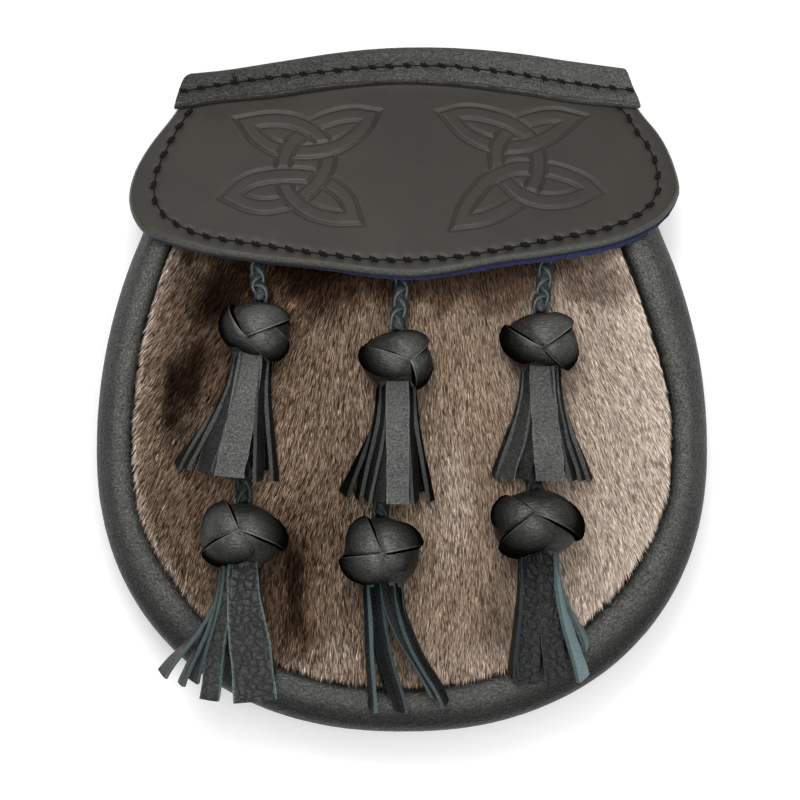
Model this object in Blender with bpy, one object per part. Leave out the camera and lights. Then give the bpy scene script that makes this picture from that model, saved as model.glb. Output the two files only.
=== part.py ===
"""Sporran pouch: a kilt pouch of leather with a hide front, a stitched flap and six tassels on cords.

It lies on its back. Metres, +Z up, +Y towards the top edge of the pouch, origin under the middle of
the object on the surface that it lies on.
"""

import math
from collections import namedtuple

import bpy
import numpy as np
from mathutils import Vector

# Driving sizes of the pouch
HALF_WIDTH = 0.0950  # at the widest point
HALF_LENGTH = 0.10705
WIDEST_Y = -0.01885
ROUNDNESS = 2.2  # exponent of the outline below its widest point
SIDE_CURVE = 3.17  # the sides above the widest point draw in by this times the distance squared
SIDE_STRAIGHT_Y = 0.046  # from here up, under the flap, the sides run straight
SIDE_STRAIGHT_SLOPE = -0.35
GUSSET_TOP_Y = 0.0715
MOUTH_Y = 0.0675

# Heights of the layers over the surface that the pouch lies on
RIM_HEIGHT = 0.0340
BACK_Z = 0.0066  # outer face of the back panel, inside the rear rim
BACK_THICK = 0.0020
GUSSET_THICK = 0.0016
FRONT_THICK = 0.0022
LINING_THICK = 0.0012
FLAP_THICK = 0.0024
BINDING_THICK = 0.0012
GAP = 0.0003

# The flap lies flat on the back panel under the binding, bends along a shallow arch and then rises
STACK_Z = BACK_Z + BACK_THICK + GAP
LINING_GAP = 0.0005
STACK_THICK = LINING_THICK + LINING_GAP + FLAP_THICK
FLAP_SLOPE = 0.53
BEND_Y = 0.0950
BEND_ARCH = 0.58  # the bend draws back by this times x squared
BEND_SOFT = 0.0020
RIM_CLEARANCE = 0.0008
RIM_SOFT = 0.0024
RIM_PRESS_X = HALF_WIDTH * 0.8  # where the flap's height tells how far it presses the rim down

FAN_CENTRE_Y = -0.0200
CROWN_Z = 0.0395
CROWN_TO_BOTTOM = 0.0715
CROWN_TO_MOUTH = 0.0875
BOTTOM_Z = 0.0314
MOUTH_Z = 0.0160
CROWN_FALL = 1.6  # exponent of the fall from the crown to the mouth
CROWN_ROUND = 2.4  # exponent of the fall from the crown to the sides

# Width of the rim seen from the front, round the pouch: degrees from straight down, + to the right
RIM_WIDTH = (
    # angle, width
    (-140.0, 0.0108),
    (-117.0, 0.0116),
    (-100.0, 0.0125),
    (-78.0, 0.0128),
    (-62.0, 0.0155),
    (-35.0, 0.0163),
    (0.0, 0.0155),
    (25.0, 0.0163),
    (50.0, 0.0176),
    (66.0, 0.0160),
    (82.0, 0.0128),
    (100.0, 0.0124),
    (117.0, 0.0143),
    (140.0, 0.0145),
)
RIM_WIDTH_OF_SECTION = 0.0120

# Outer face of the gusset, from the flange on the back panel to the flange under the front panel.
# Where the flap presses the rim down, each point takes its share of that. The points of the front
# part take all of it, and their inset grows with the width of the rim.
GUSSET_SECTION = (
    # inset, z, share
    (0.0160, 0.0089, 0.0),
    (0.0113, 0.0089, 0.0),
    (0.0100, 0.0042, 0.0),
    (0.0076, 0.0009, 0.0),
    (0.0052, 0.0000, 0.0),
    (0.0024, 0.0014, 0.0),
    (0.0005, 0.0060, 0.1),
    (0.0000, 0.0140, 0.45),
    (0.0003, 0.0230, 0.85),
    (0.0015, 0.0288, 1.0),
    (0.0040, 0.0328, 1.0),
    (0.0070, 0.0340, 1.0),
    (0.0100, 0.0324, 1.0),
    (0.0116, 0.0286, 1.0),
    (0.0170, 0.0280, 1.0),
)
GUSSET_INNER_ROWS = (0, 1, 2, 4, 6, 8, 10, 11, 12, 13, 14)
GUSSET_STATIONS = 40
OUTLINE_POINTS = 721  # of the fine outline that other lines are taken from
HIDE_EDGE_POINTS = 401  # of the edge that the height of the hide is measured from
PANEL_EDGE_POINTS = 41
PANEL_MOUTH_POINTS = 9
PANEL_RINGS = (0.3, 0.6, 0.82, 1.0)  # from the middle of the front panel to its border
BACK_EDGE_GAP = 0.0005
BACK_CORNER_RISE = 0.0016  # where the back panel comes out past the ends of the gusset
FRONT_EDGE_INSET = 0.0005  # from the inner end of the rim to the edge of the front panel
FRONT_EDGE_RISE = 0.0020  # of the line that the panel's edge is cut from, over the gusset's ends
FRONT_EDGE_SPARE = 0.0005  # of the panel's edge past the mouth

# The binding: its fold along the top edge and its lower edge on the flap
BINDING_LINE = (
    # x of the fold, y of the fold, x of the lower edge, y of the lower edge
    (-0.0684, 0.0986, -0.0709, 0.0848),
    (-0.0550, 0.0999, -0.0565, 0.0871),
    (-0.0386, 0.1025, -0.0397, 0.0888),
    (-0.0200, 0.1054, -0.0206, 0.0920),
    (-0.0030, 0.1069, -0.0019, 0.0937),
    (0.0160, 0.1069, 0.0163, 0.0929),
    (0.0350, 0.1054, 0.0357, 0.0901),
    (0.0530, 0.1028, 0.0545, 0.0869),
    (0.0704, 0.1005, 0.0744, 0.0852),
)
BINDING_STEPS = 3
BINDING_BACK_WIDTH = 0.0095
BINDING_ROUND = 0.0030  # from the fold to where the binding has its full thickness
BINDING_FOLD_INSIDE = 0.0018  # from the fold to the flat of the inner face
BINDING_EDGE_WIDTH = 0.0034  # of the padded ridge along the lower edge
BINDING_EDGE_TOP = 0.0012  # from the lower edge to the top of that ridge
BINDING_EDGE_RISE = 0.0008
BINDING_BEND_REACH = 0.0020  # of the flap's bend, to each side

# Free edge of the flap in plan, from its left top corner round to the right one
FLAP_EDGE = (
    # x, y
    (-0.0655, 0.0968),
    (-0.0690, 0.0900),
    (-0.0710, 0.0846),
    (-0.0781, 0.0743),
    (-0.0823, 0.0660),
    (-0.0839, 0.0580),
    (-0.0826, 0.0515),
    (-0.0791, 0.0464),
    (-0.0744, 0.0441),
    (-0.0616, 0.0402),
    (-0.0469, 0.0377),
    (-0.0248, 0.0352),
    (0.0030, 0.0324),
    (0.0297, 0.0367),
    (0.0452, 0.0389),
    (0.0647, 0.0428),
    (0.0765, 0.0482),
    (0.0816, 0.0525),
    (0.0848, 0.0576),
    (0.0854, 0.0620),
    (0.0832, 0.0709),
    (0.0798, 0.0780),
    (0.0738, 0.0865),
    (0.0690, 0.0985),
)
FLAP_EDGE_STEPS = 2
FLAP_ROWS = (0.0, 0.12, 0.3, 0.62, 1.0)  # along each rib, from the top edge to the free edge
TOP_EDGE_BLEND = 0.3  # how soon the ribs reach the top edge, from the corners inwards
TOP_EDGE_INSET = 0.0022  # of the flap inside the binding's fold

# Belt loops on the back: leather strips that stand off far enough for a strap
LOOP_X = 0.0400
LOOP_Y = 0.0500
LOOP_WIDTH = 0.0180
LOOP_THICK = 0.0016
LOOP_OUTER_Z = 0.0002
LOOP_BEND_SHIFT = LOOP_THICK / 2  # of the inner face's bends against those of the outer face
LOOP_SECTION = (
    # y from the middle of the loop, z of the face towards the wearer
    (-0.0260, BACK_Z - GAP - LOOP_THICK),
    (-0.0190, BACK_Z - GAP - LOOP_THICK),
    (-0.0150, LOOP_OUTER_Z),
    (0.0150, LOOP_OUTER_Z),
    (0.0190, BACK_Z - GAP - LOOP_THICK),
    (0.0260, BACK_Z - GAP - LOOP_THICK),
)

# Tassel heads: knots of woven leather bands
HEAD_DEPTH = 0.86  # thickness as a share of the width
HEAD_SIDES = 14
HEAD_PROFILE = (
    # along the head from the cord's end, radius, both as shares of the half length and half width
    (-0.97, 0.26),
    (-0.90, 0.52),
    (-0.66, 0.82),
    (-0.30, 0.98),
    (0.10, 1.00),
    (0.48, 0.90),
    (0.80, 0.70),
    (0.97, 0.50),
)
TASSELS = (
    # name, x, y, width and length of the head, x of the collar's foot, tilt in degrees that
    # lowers the end with the cord
    ("upper_left", -0.0442, 0.0169, 0.0222, 0.0196, -0.0466, 16),
    ("upper_middle", -0.0016, 0.0082, 0.0226, 0.0186, -0.0016, 16),
    ("upper_right", 0.0418, 0.0133, 0.0236, 0.0196, 0.0418, 16),
    ("lower_left", -0.0482, -0.0448, 0.0264, 0.0210, -0.0490, 22),
    ("lower_middle", -0.0061, -0.0500, 0.0242, 0.0236, -0.0050, 22),
    ("lower_right", 0.0403, -0.0412, 0.0276, 0.0220, 0.0412, 24),
)
HEAD_LIFT = 0.0009  # of the heads over the hide

# The rolled collar that the strips of a tassel start from, at the knot's lower end
COLLAR_WIDTH = 0.0128
COLLAR_DEPTH = 0.0092
COLLAR_SIDES = 12
COLLAR_PROFILE = (
    # along the collar, radius as a share of its width and depth
    (0.0000, 1.00),
    (0.0020, 0.96),
    (0.0040, 0.60),
)
ROOT_DEPTH = 0.80  # of a strip in the collar, as a share of the collar's radius
ROOT_START = 0.0010  # along the collar

# Strips of each tassel: the place round the collar in degrees (0 is the front, + the right), the
# width there, then the middle of the tip, its rise over the hide, its width and its roll. A strip
# with no roll shows its face.
STRIP_THICK = 0.0013
STRIP_STEPS = 4
STRIP_RISE = 0.0012
STRIP_REACH = 0.36  # how far a strip keeps its first direction, as a share of its length
STRIP_LANDING = 0.7  # how far it keeps its last direction, as a share of that
STRIP_FALL = 0.30
STRIP_WIDENING = 1.5  # how soon a strip has the width of its tip
STRIPS = {
    "upper_left": (
        # angle, root width, x and y of the tip, rise, tip width, roll
        (-4, 0.0070, -0.0519, -0.0270, 0.0085, 0.0088, 0),
        (-50, 0.0044, -0.0604, -0.0256, 0.0066, 0.0060, -24),
        (-84, 0.0040, -0.0656, -0.0246, 0.0056, 0.0048, -62),
        (-122, 0.0038, -0.0688, -0.0239, 0.0040, 0.0040, -56),
        (46, 0.0044, -0.0434, -0.0282, 0.0076, 0.0044, 62),
        (82, 0.0040, -0.0386, -0.0285, 0.0042, 0.0046, 70),
        (126, 0.0038, -0.0402, -0.0250, 0.0026, 0.0040, 30),
    ),
    "upper_middle": (
        (2, 0.0070, -0.0012, -0.0351, 0.0086, 0.0067, 0),
        (-46, 0.0040, -0.0104, -0.0342, 0.0056, 0.0036, -62),
        (-76, 0.0038, -0.0136, -0.0336, 0.0042, 0.0042, -66),
        (-112, 0.0038, -0.0174, -0.0324, 0.0034, 0.0048, -50),
        (52, 0.0042, 0.0042, -0.0345, 0.0058, 0.0038, 64),
        (88, 0.0038, 0.0090, -0.0345, 0.0038, 0.0046, 70),
        (130, 0.0038, 0.0056, -0.0316, 0.0024, 0.0040, 20),
    ),
    "upper_right": (
        (2, 0.0072, 0.0444, -0.0282, 0.0102, 0.0086, 0),
        (-52, 0.0048, 0.0318, -0.0276, 0.0048, 0.0064, -14),
        (-86, 0.0038, 0.0286, -0.0270, 0.0030, 0.0036, -66),
        (46, 0.0042, 0.0516, -0.0282, 0.0068, 0.0044, 62),
        (74, 0.0038, 0.0544, -0.0282, 0.0056, 0.0044, 66),
        (106, 0.0038, 0.0572, -0.0279, 0.0040, 0.0042, 70),
        (144, 0.0036, 0.0496, -0.0250, 0.0026, 0.0044, 16),
    ),
    "lower_left": (
        (10, 0.0084, -0.0443, -0.0953, 0.0062, 0.0130, 0),
        (-42, 0.0048, -0.0594, -0.0953, 0.0052, 0.0062, -12),
        (-72, 0.0040, -0.0636, -0.0898, 0.0048, 0.0042, -40),
        (-100, 0.0038, -0.0674, -0.0905, 0.0040, 0.0042, -60),
        (-132, 0.0038, -0.0728, -0.0880, 0.0036, 0.0052, -50),
        (72, 0.0040, -0.0400, -0.0880, 0.0056, 0.0050, 60),
        (124, 0.0038, -0.0450, -0.0860, 0.0046, 0.0060, 10),
    ),
    "lower_middle": (
        (-70, 0.0040, -0.0085, -0.0986, 0.0052, 0.0046, -66),
        (-28, 0.0046, -0.0008, -0.0989, 0.0060, 0.0048, -40),
        (14, 0.0046, 0.0106, -0.0928, 0.0084, 0.0042, 36),
        (56, 0.0040, 0.0130, -0.0965, 0.0062, 0.0044, 60),
        (96, 0.0038, 0.0092, -0.0930, 0.0052, 0.0046, 50),
        (-120, 0.0038, -0.0040, -0.0930, 0.0048, 0.0040, -20),
    ),
    "lower_right": (
        (-30, 0.0060, 0.0378, -0.0898, 0.0066, 0.0070, -6),
        (30, 0.0060, 0.0468, -0.0901, 0.0070, 0.0070, 4),
        (74, 0.0040, 0.0546, -0.0886, 0.0064, 0.0054, 48),
        (-82, 0.0040, 0.0334, -0.0877, 0.0056, 0.0050, -72),
        (108, 0.0038, 0.0560, -0.0790, 0.0052, 0.0044, 60),
        (-136, 0.0038, 0.0370, -0.0850, 0.0044, 0.0050, 0),
    ),
}

# Braided cords. The points are the middle of the cord. Its last part runs straight to its knot.
CORD_DIAMETER = 0.0048
CORD_STEP = 0.0080
CORD_LEAST_POINTS = 5
CORD_CURVE_STEPS = 12
CORD_GAP = 0.0004
CORD_STRAIGHT = 0.0024
CORDS = {
    "upper_left": (
        # x, y, rise over the hide
        (-0.0430, 0.0535, 0.0032),
        (-0.0438, 0.0450, 0.0034),
        (-0.0442, 0.0390, 0.0045),
        (-0.0440, 0.0320, 0.0064),
    ),
    "upper_middle": (
        (0.0000, 0.0500, 0.0034),
        (0.0000, 0.0420, 0.0037),
        (0.0000, 0.0340, 0.0050),
        (-0.0006, 0.0250, 0.0070),
    ),
    "upper_right": (
        (0.0430, 0.0535, 0.0032),
        (0.0438, 0.0450, 0.0034),
        (0.0440, 0.0375, 0.0046),
        (0.0430, 0.0290, 0.0068),
    ),
    "lower_left": (
        (-0.0464, 0.0056, 0.0030),
        (-0.0468, -0.0060, 0.0030),
        (-0.0474, -0.0180, 0.0030),
        (-0.0480, -0.0266, 0.0038),
    ),
    "lower_middle": (
        (-0.0034, -0.0018, 0.0030),
        (-0.0046, -0.0130, 0.0030),
        (-0.0054, -0.0240, 0.0031),
        (-0.0058, -0.0320, 0.0044),
    ),
    "lower_right": (
        (0.0404, 0.0020, 0.0030),
        (0.0396, -0.0070, 0.0030),
        (0.0386, -0.0160, 0.0030),
        (0.0382, -0.0234, 0.0034),
    ),
}

# name: red, green, blue (linear), roughness
COLOURS = {
    "flap_leather": (0.052, 0.050, 0.043, 0.48),
    "lining": (0.012, 0.016, 0.045, 0.70),
    "grained_leather": (0.026, 0.027, 0.024, 0.55),
    "hide": (0.180, 0.110, 0.070, 0.85),
    "back_leather": (0.030, 0.027, 0.024, 0.60),
    "cord_leather": (0.030, 0.036, 0.036, 0.50),
    "knot_leather": (0.026, 0.026, 0.023, 0.45),
    "strip_leather": (0.024, 0.027, 0.027, 0.60),
}


def clear_scene():
    for thing in list(bpy.data.objects):
        bpy.data.objects.remove(thing, do_unlink=True)


def material(name):
    made = bpy.data.materials.get(name)
    if made is None:
        made = bpy.data.materials.new(name)
        made.use_nodes = True
        shader = made.node_tree.nodes["Principled BSDF"]
        red, green, blue, roughness = COLOURS[name]
        shader.inputs["Base Color"].default_value = (red, green, blue, 1)
        shader.inputs["Roughness"].default_value = roughness
        shader.inputs["Metallic"].default_value = 0
    return made


def mesh_object(name, points, faces, material_name, parent):
    """An object from points and faces. Points that fall together become one, and faces that collapse go."""
    places = {}
    kept = []
    index = []
    for point in points:
        key = tuple(round(value, 7) for value in point)
        if key not in places:
            places[key] = len(kept)
            kept.append(key)
        index.append(places[key])
    whole = []
    for face in faces:
        corners = [index[corner] for corner in face]
        corners = [c for n, c in enumerate(corners) if c != corners[n - 1]]
        if len(set(corners)) > 2:
            whole.append(corners)
    mesh = bpy.data.meshes.new(name)
    mesh.from_pydata(kept, [], whole)
    mesh.materials.append(material(material_name))
    mesh.shade_smooth()
    mesh.set_sharp_from_angle(angle=math.radians(40))
    made = bpy.data.objects.new(name, mesh)
    bpy.context.scene.collection.objects.link(made)
    made.parent = parent
    return made


def volume(points, faces):
    total = 0.0
    for face in faces:
        for second, third in zip(face[1:-1], face[2:]):
            total += Vector(points[face[0]]).dot(Vector(points[second]).cross(Vector(points[third])))
    return total / 6


def loft(rings):
    """Points and faces of a closed body through rings of equally many points, with flat ends."""
    count = len(rings[0])
    points = [tuple(point) for ring in rings for point in ring]
    faces = [tuple(range(count)), tuple(reversed(range(len(points) - count, len(points))))]
    for start in range(0, len(points) - count, count):
        for n in range(count):
            after = (n + 1) % count
            faces.append((start + n, start + count + n, start + count + after, start + after))
    if volume(points, faces) < 0:
        faces = [tuple(reversed(face)) for face in faces]
    return points, faces


def smooth_curve(rows, steps):
    """Points on a Catmull-Rom curve through the rows, as an array."""
    rows = np.array(rows, float)
    ends = np.vstack([2 * rows[0] - rows[1], rows, 2 * rows[-1] - rows[-2]])
    found = []
    for n in range(1, len(ends) - 2):
        before, start, end, after = ends[n - 1 : n + 3]
        for step in range(steps):
            t = step / steps
            found.append(
                0.5
                * (
                    2 * start
                    + (end - before) * t
                    + (2 * before - 5 * start + 4 * end - after) * t**2
                    + (3 * start - before - 3 * end + after) * t**3
                )
            )
    found.append(rows[-1])
    return np.array(found)


def along(points):
    steps = np.linalg.norm(np.diff(points, axis=0), axis=1)
    return np.concatenate([[0.0], np.cumsum(steps)])


def at_shares(points, shares):
    """The places at these shares of the length of a line of points."""
    length = along(points)
    places = np.asarray(shares) * length[-1]
    columns = [np.interp(places, length, points[:, axis]) for axis in range(points.shape[1])]
    return np.column_stack(columns)


def spaced(points, count):
    """So many points at equal distances along a line of points."""
    return at_shares(points, np.linspace(0, 1, count))


# The body's outline and the surfaces that everything lies on


def half_width(y):
    """Half the width of the pouch at a height y of its outline."""
    if y <= WIDEST_Y:
        share = min(1.0, (WIDEST_Y - y) / (HALF_LENGTH + WIDEST_Y))
        return HALF_WIDTH * (1 - share**ROUNDNESS) ** (1 / ROUNDNESS)
    curved = min(y, SIDE_STRAIGHT_Y)
    width = HALF_WIDTH - SIDE_CURVE * (curved - WIDEST_Y) ** 2
    return width + SIDE_STRAIGHT_SLOPE * (y - curved)


def body_line(top_y, inset, count):
    """Points and inward normals round the pouch, from the left end of its outline at top_y to the right."""
    angles = np.linspace(-math.pi / 2, math.pi / 2, OUTLINE_POINTS // 3)
    power = 2 / ROUNDNESS
    lower_x = HALF_WIDTH * np.sign(np.sin(angles)) * np.abs(np.sin(angles)) ** power
    lower_y = WIDEST_Y - (HALF_LENGTH + WIDEST_Y) * np.maximum(0.0, np.cos(angles)) ** power
    side_y = np.linspace(top_y, WIDEST_Y, OUTLINE_POINTS // 18, endpoint=False)
    side_x = np.array([half_width(y) for y in side_y])
    x = np.concatenate([-side_x, lower_x, side_x[::-1]])
    y = np.concatenate([side_y, lower_y, side_y[::-1]])
    line = spaced(np.column_stack([x, y]), OUTLINE_POINTS)
    tangent = np.gradient(line, axis=0)
    tangent /= np.linalg.norm(tangent, axis=1)[:, None]
    normal = np.column_stack([-tangent[:, 1], tangent[:, 0]])
    if callable(inset):
        inset = np.array([inset(point) for point in line])[:, None]
    return spaced(np.hstack([line + normal * inset, line, normal]), count)


def rim_width(point):
    angles, widths = np.array(RIM_WIDTH).T
    return float(np.interp(math.degrees(math.atan2(point[0], FAN_CENTRE_Y - point[1])), angles, widths))


def softly(value, width):
    """The positive part of a value, with a soft start."""
    return width * math.log1p(math.exp(min(value / width, 60.0)))


def under_flap(x, y):
    """Height of the underside of the flap and its lining."""
    bend = BEND_Y - BEND_ARCH * x * x
    return STACK_Z + FLAP_SLOPE * softly(bend - y, BEND_SOFT)


def over_flap(x, y, rise):
    """The point that lies this far above the underside of the lining, square to the leather."""
    step = 0.0005
    slope_x = (under_flap(x + step, y) - under_flap(x - step, y)) / (2 * step)
    slope_y = (under_flap(x, y + step) - under_flap(x, y - step)) / (2 * step)
    normal = Vector((-slope_x, -slope_y, 1)).normalized()
    return Vector((x, y, under_flap(x, y))) + normal * rise


def rim_height(y):
    """Height of the top of the rim, which the flap presses down near the mouth."""
    pressed = RIM_HEIGHT - under_flap(RIM_PRESS_X, y) + RIM_CLEARANCE
    return RIM_HEIGHT - softly(pressed, RIM_SOFT)


def edge_line(count):
    """Edge of the front panel between the mouth's corners, as x and y."""

    def inset(point):
        return rim_width(point) + FRONT_EDGE_INSET

    line = body_line(GUSSET_TOP_Y + FRONT_EDGE_RISE, inset, OUTLINE_POINTS)[:, :2]
    inside = line[line[:, 1] <= MOUTH_Y + FRONT_EDGE_SPARE]
    return spaced(inside, count)


def front_height(x, y, edge):
    """Height of the hide's face: a dome that falls to the rim and to the mouth."""
    low = edge[:, 1].argmin()
    side = edge[low:] if x > edge[low, 0] else edge[: low + 1][::-1]
    reach = abs(float(np.interp(y, side[:, 1], side[:, 0])) - edge[low, 0])
    across = min(1.0, abs(x - edge[low, 0]) / max(reach, 1e-6))
    if y < FAN_CENTRE_Y:
        ridge = CROWN_Z - (CROWN_Z - BOTTOM_Z) * ((FAN_CENTRE_Y - y) / CROWN_TO_BOTTOM) ** 2
    else:
        ridge = CROWN_Z - (CROWN_Z - MOUTH_Z) * ((y - FAN_CENTRE_Y) / CROWN_TO_MOUTH) ** CROWN_FALL
    rim = rim_height(y) - (RIM_HEIGHT - BOTTOM_Z)
    return ridge - (ridge - rim) * across**CROWN_ROUND


# Parts of the pouch


def offset_line(line, distance):
    """A line of points moved to its right by a distance."""
    steps = np.diff(line, axis=0)
    steps /= np.linalg.norm(steps, axis=1)[:, None]
    right = np.column_stack([steps[:, 1], -steps[:, 0]])
    right = np.vstack([right[:1], right, right[-1:]])
    moved = []
    for point, before, after in zip(line, right[:-1], right[1:]):
        middle = (before + after) / np.linalg.norm(before + after)
        moved.append(point + middle * distance / max(0.5, float(middle @ after)))
    return np.array(moved)


def gusset_section(place, width):
    """Closed ring of the gusset's section, in the plane through a place on the outline and its normal."""
    origin, normal = place[2:4], place[4:6] / np.linalg.norm(place[4:6])
    outer = []
    for inset, z, share in GUSSET_SECTION:
        if share == 1.0:
            inset *= width / RIM_WIDTH_OF_SECTION
        local_y = (origin + normal * inset)[1]
        outer.append((inset, z + share * (rim_height(local_y) - RIM_HEIGHT)))
    outer = np.array(outer)
    inner = offset_line(outer, GUSSET_THICK)[list(GUSSET_INNER_ROWS)]
    ring = np.vstack([outer, inner[::-1]])
    return [(*(origin + normal * inset), z) for inset, z in ring]


def make_gusset(parent):
    places = body_line(GUSSET_TOP_Y, 0.0, GUSSET_STATIONS)
    rings = [gusset_section(place, rim_width(place[2:4])) for place in places]
    mesh_object("gusset", *loft(rings), "grained_leather", parent)


def thicken(thing, thickness):
    """Gives a sheet its thickness downwards."""
    solidify = thing.modifiers.new("thickness", "SOLIDIFY")
    solidify.thickness = thickness
    solidify.offset = -1
    solidify.use_even_offset = True


def make_front_panel(edge, parent):
    sides = spaced(edge, PANEL_EDGE_POINTS)
    mouth = np.linspace(sides[-1], sides[0], PANEL_MOUTH_POINTS)[1:-1]
    border = np.vstack([sides, mouth])
    centre = np.array([0.0, FAN_CENTRE_Y])
    points = [(*centre, front_height(*centre, edge))]
    for share in PANEL_RINGS:
        for place in border:
            x, y = centre + (place - centre) * share
            points.append((x, y, front_height(x, y, edge)))
    count = len(border)
    faces = []
    for n in range(count):
        after = (n + 1) % count
        faces.append((0, 1 + n, 1 + after))
        for ring in range(len(PANEL_RINGS) - 1):
            low = 1 + ring * count
            faces.append((low + n, low + count + n, low + count + after, low + after))
    panel = mesh_object("front_panel", points, faces, "hide", parent)
    thicken(panel, FRONT_THICK)


def make_back_panel(parent):
    inset = GUSSET_SECTION[1][0] + BACK_EDGE_GAP
    lower = body_line(GUSSET_TOP_Y + BACK_CORNER_RISE, inset, PANEL_EDGE_POINTS)[:, :2]
    fold = smooth_curve([row[:2] for row in BINDING_LINE], 1)[:, :2]
    fold = fold - np.array([0.0, TOP_EDGE_INSET])
    fold[0, 0] += TOP_EDGE_INSET
    fold[-1, 0] -= TOP_EDGE_INSET
    border = np.vstack([lower, fold[::-1]])
    rings = [[(x, y, z) for x, y in border] for z in (BACK_Z, BACK_Z + BACK_THICK)]
    mesh_object("back_panel", *loft(rings), "back_leather", parent)


def flap_sheet(name, rise, thickness, material_name, parent):
    """A layer of the flap. Ribs run from the top edge, inside the binding, to the free edge."""
    free = smooth_curve(FLAP_EDGE, FLAP_EDGE_STEPS)
    shares = along(free) / along(free)[-1]
    fold = smooth_curve([row[:2] for row in BINDING_LINE], 8)
    fold = at_shares(fold, shares) - np.array([0.0, TOP_EDGE_INSET])
    straight = free[[0]] + (free[[-1]] - free[[0]]) * shares[:, None]
    blend = np.sin(shares * math.pi)[:, None] ** TOP_EDGE_BLEND
    top = straight + (fold - straight) * np.maximum(blend, 0.0)
    top[0], top[-1] = free[0], free[-1]
    points = []
    for start, end in zip(top, free):
        for share in FLAP_ROWS:
            x, y = start + (end - start) * share
            points.append(tuple(over_flap(x, y, rise)))
    rows = len(FLAP_ROWS)
    faces = []
    for column in range(len(free) - 1):
        for row in range(rows - 1):
            first = column * rows + row
            faces.append((first, first + 1, first + rows + 1, first + rows))
    sheet = mesh_object(name, points, faces, material_name, parent)
    thicken(sheet, thickness)


def make_flap(parent):
    flap_sheet("flap_lining", LINING_THICK, LINING_THICK, "lining", parent)
    flap_sheet("flap", STACK_THICK, FLAP_THICK, "flap_leather", parent)


def binding_section(fold, low):
    """Closed ring of the binding's section, from its lower edge on the flap round the fold."""
    over = STACK_THICK + 2 * GAP
    fold_z = (STACK_Z + STACK_THICK + BACK_Z) / 2
    back_z = BACK_Z - GAP
    thick = BINDING_THICK
    width = (low - fold).length
    down = (low - fold).normalized()
    flat = width - BINDING_EDGE_WIDTH
    bend = (BEND_Y - BEND_ARCH * fold.x**2 - fold.y) / down.y
    upper_bend = min(bend - BINDING_BEND_REACH, flat - 2 * BINDING_ROUND / 3)
    lower_bend = min(bend + BINDING_BEND_REACH, flat - BINDING_ROUND / 3)

    def front(distance, rise):
        x, y = fold + down * distance
        return over_flap(x, y, over + rise)

    def behind(distance, z):
        return Vector((*(fold + down * distance), z))

    return [
        front(width, 0.0),
        front(width, thick),
        front(width - BINDING_EDGE_TOP, thick + BINDING_EDGE_RISE),
        front(flat, thick),
        front(lower_bend, thick),
        front(upper_bend, thick),
        front(BINDING_ROUND, thick),
        front(BINDING_ROUND / 3, thick * 0.4),
        behind(0.0, fold_z),
        behind(BINDING_ROUND / 3, back_z - thick * 0.4),
        behind(BINDING_ROUND, back_z - thick),
        behind(BINDING_BACK_WIDTH, back_z - thick),
        behind(BINDING_BACK_WIDTH, back_z),
        behind(BINDING_FOLD_INSIDE, back_z),
        behind(thick, fold_z),
        front(BINDING_FOLD_INSIDE, 0.0),
        front(upper_bend, 0.0),
        front(lower_bend, 0.0),
    ]


def make_top_binding(parent):
    """A strip folded over the top edge: U section, with a padded ridge along its lower edge."""
    line = smooth_curve(BINDING_LINE, BINDING_STEPS)
    rings = [binding_section(Vector(row[:2]), Vector(row[2:])) for row in line]
    mesh_object("top_binding", *loft(rings), "grained_leather", parent)


def make_belt_loops(parent):
    outer = np.array(LOOP_SECTION)
    inner = outer + np.array([0.0, LOOP_THICK])
    inner[1:3, 0] += LOOP_BEND_SHIFT
    inner[3:5, 0] -= LOOP_BEND_SHIFT
    section = np.vstack([outer, inner[::-1]])
    for name, side in (("belt_loop_left", -1), ("belt_loop_right", 1)):
        rings = []
        for edge in (-1, 1):
            x = side * LOOP_X + edge * LOOP_WIDTH / 2
            rings.append([(x, LOOP_Y + y, z) for y, z in section])
        mesh_object(name, *loft(rings), "back_leather", parent)


# Tassels

Head = namedtuple("Head", "middle half_width half_length half_depth axis side up")


def head_place(tassel, edge):
    """Middle, half sizes and directions of a head. The axis points from the cord to the strips."""
    x, y, width, length, foot_x, tilt = tassel[1:]
    depth = width * HEAD_DEPTH / 2
    z = front_height(x, y, edge) + HEAD_LIFT + depth
    lean = math.atan2(foot_x - x, length)
    tilt = math.radians(tilt)
    axis = Vector((math.sin(lean) * math.cos(tilt), -math.cos(lean) * math.cos(tilt), math.sin(tilt)))
    side = Vector((math.cos(lean), math.sin(lean), 0))
    return Head(Vector((x, y, z)), width / 2, length / 2, depth, axis, side, axis.cross(side))


def make_head(tassel, edge, parent):
    head = head_place(tassel, edge)
    angles = [math.tau * n / HEAD_SIDES for n in range(HEAD_SIDES)]
    rings = []
    for place, radius in HEAD_PROFILE:
        centre = head.middle + head.axis * place * head.half_length
        across = head.side * head.half_width * radius
        upwards = head.up * head.half_depth * radius
        rings.append([centre + across * math.cos(angle) + upwards * math.sin(angle) for angle in angles])
    mesh_object("knot_" + tassel[0], *loft(rings), "knot_leather", parent)


def bezier(corners, t):
    """Place and heading on a cubic curve."""
    shares = ((1 - t) ** 3, 3 * t * (1 - t) ** 2, 3 * t * t * (1 - t), t**3)
    place = sum((corner * share for corner, share in zip(corners, shares)), Vector())
    shares = ((1 - t) ** 2, 2 * t * (1 - t), t * t)
    runs = [after - before for before, after in zip(corners, corners[1:])]
    return place, sum((run * share for run, share in zip(runs, shares)), Vector()).normalized()


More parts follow.
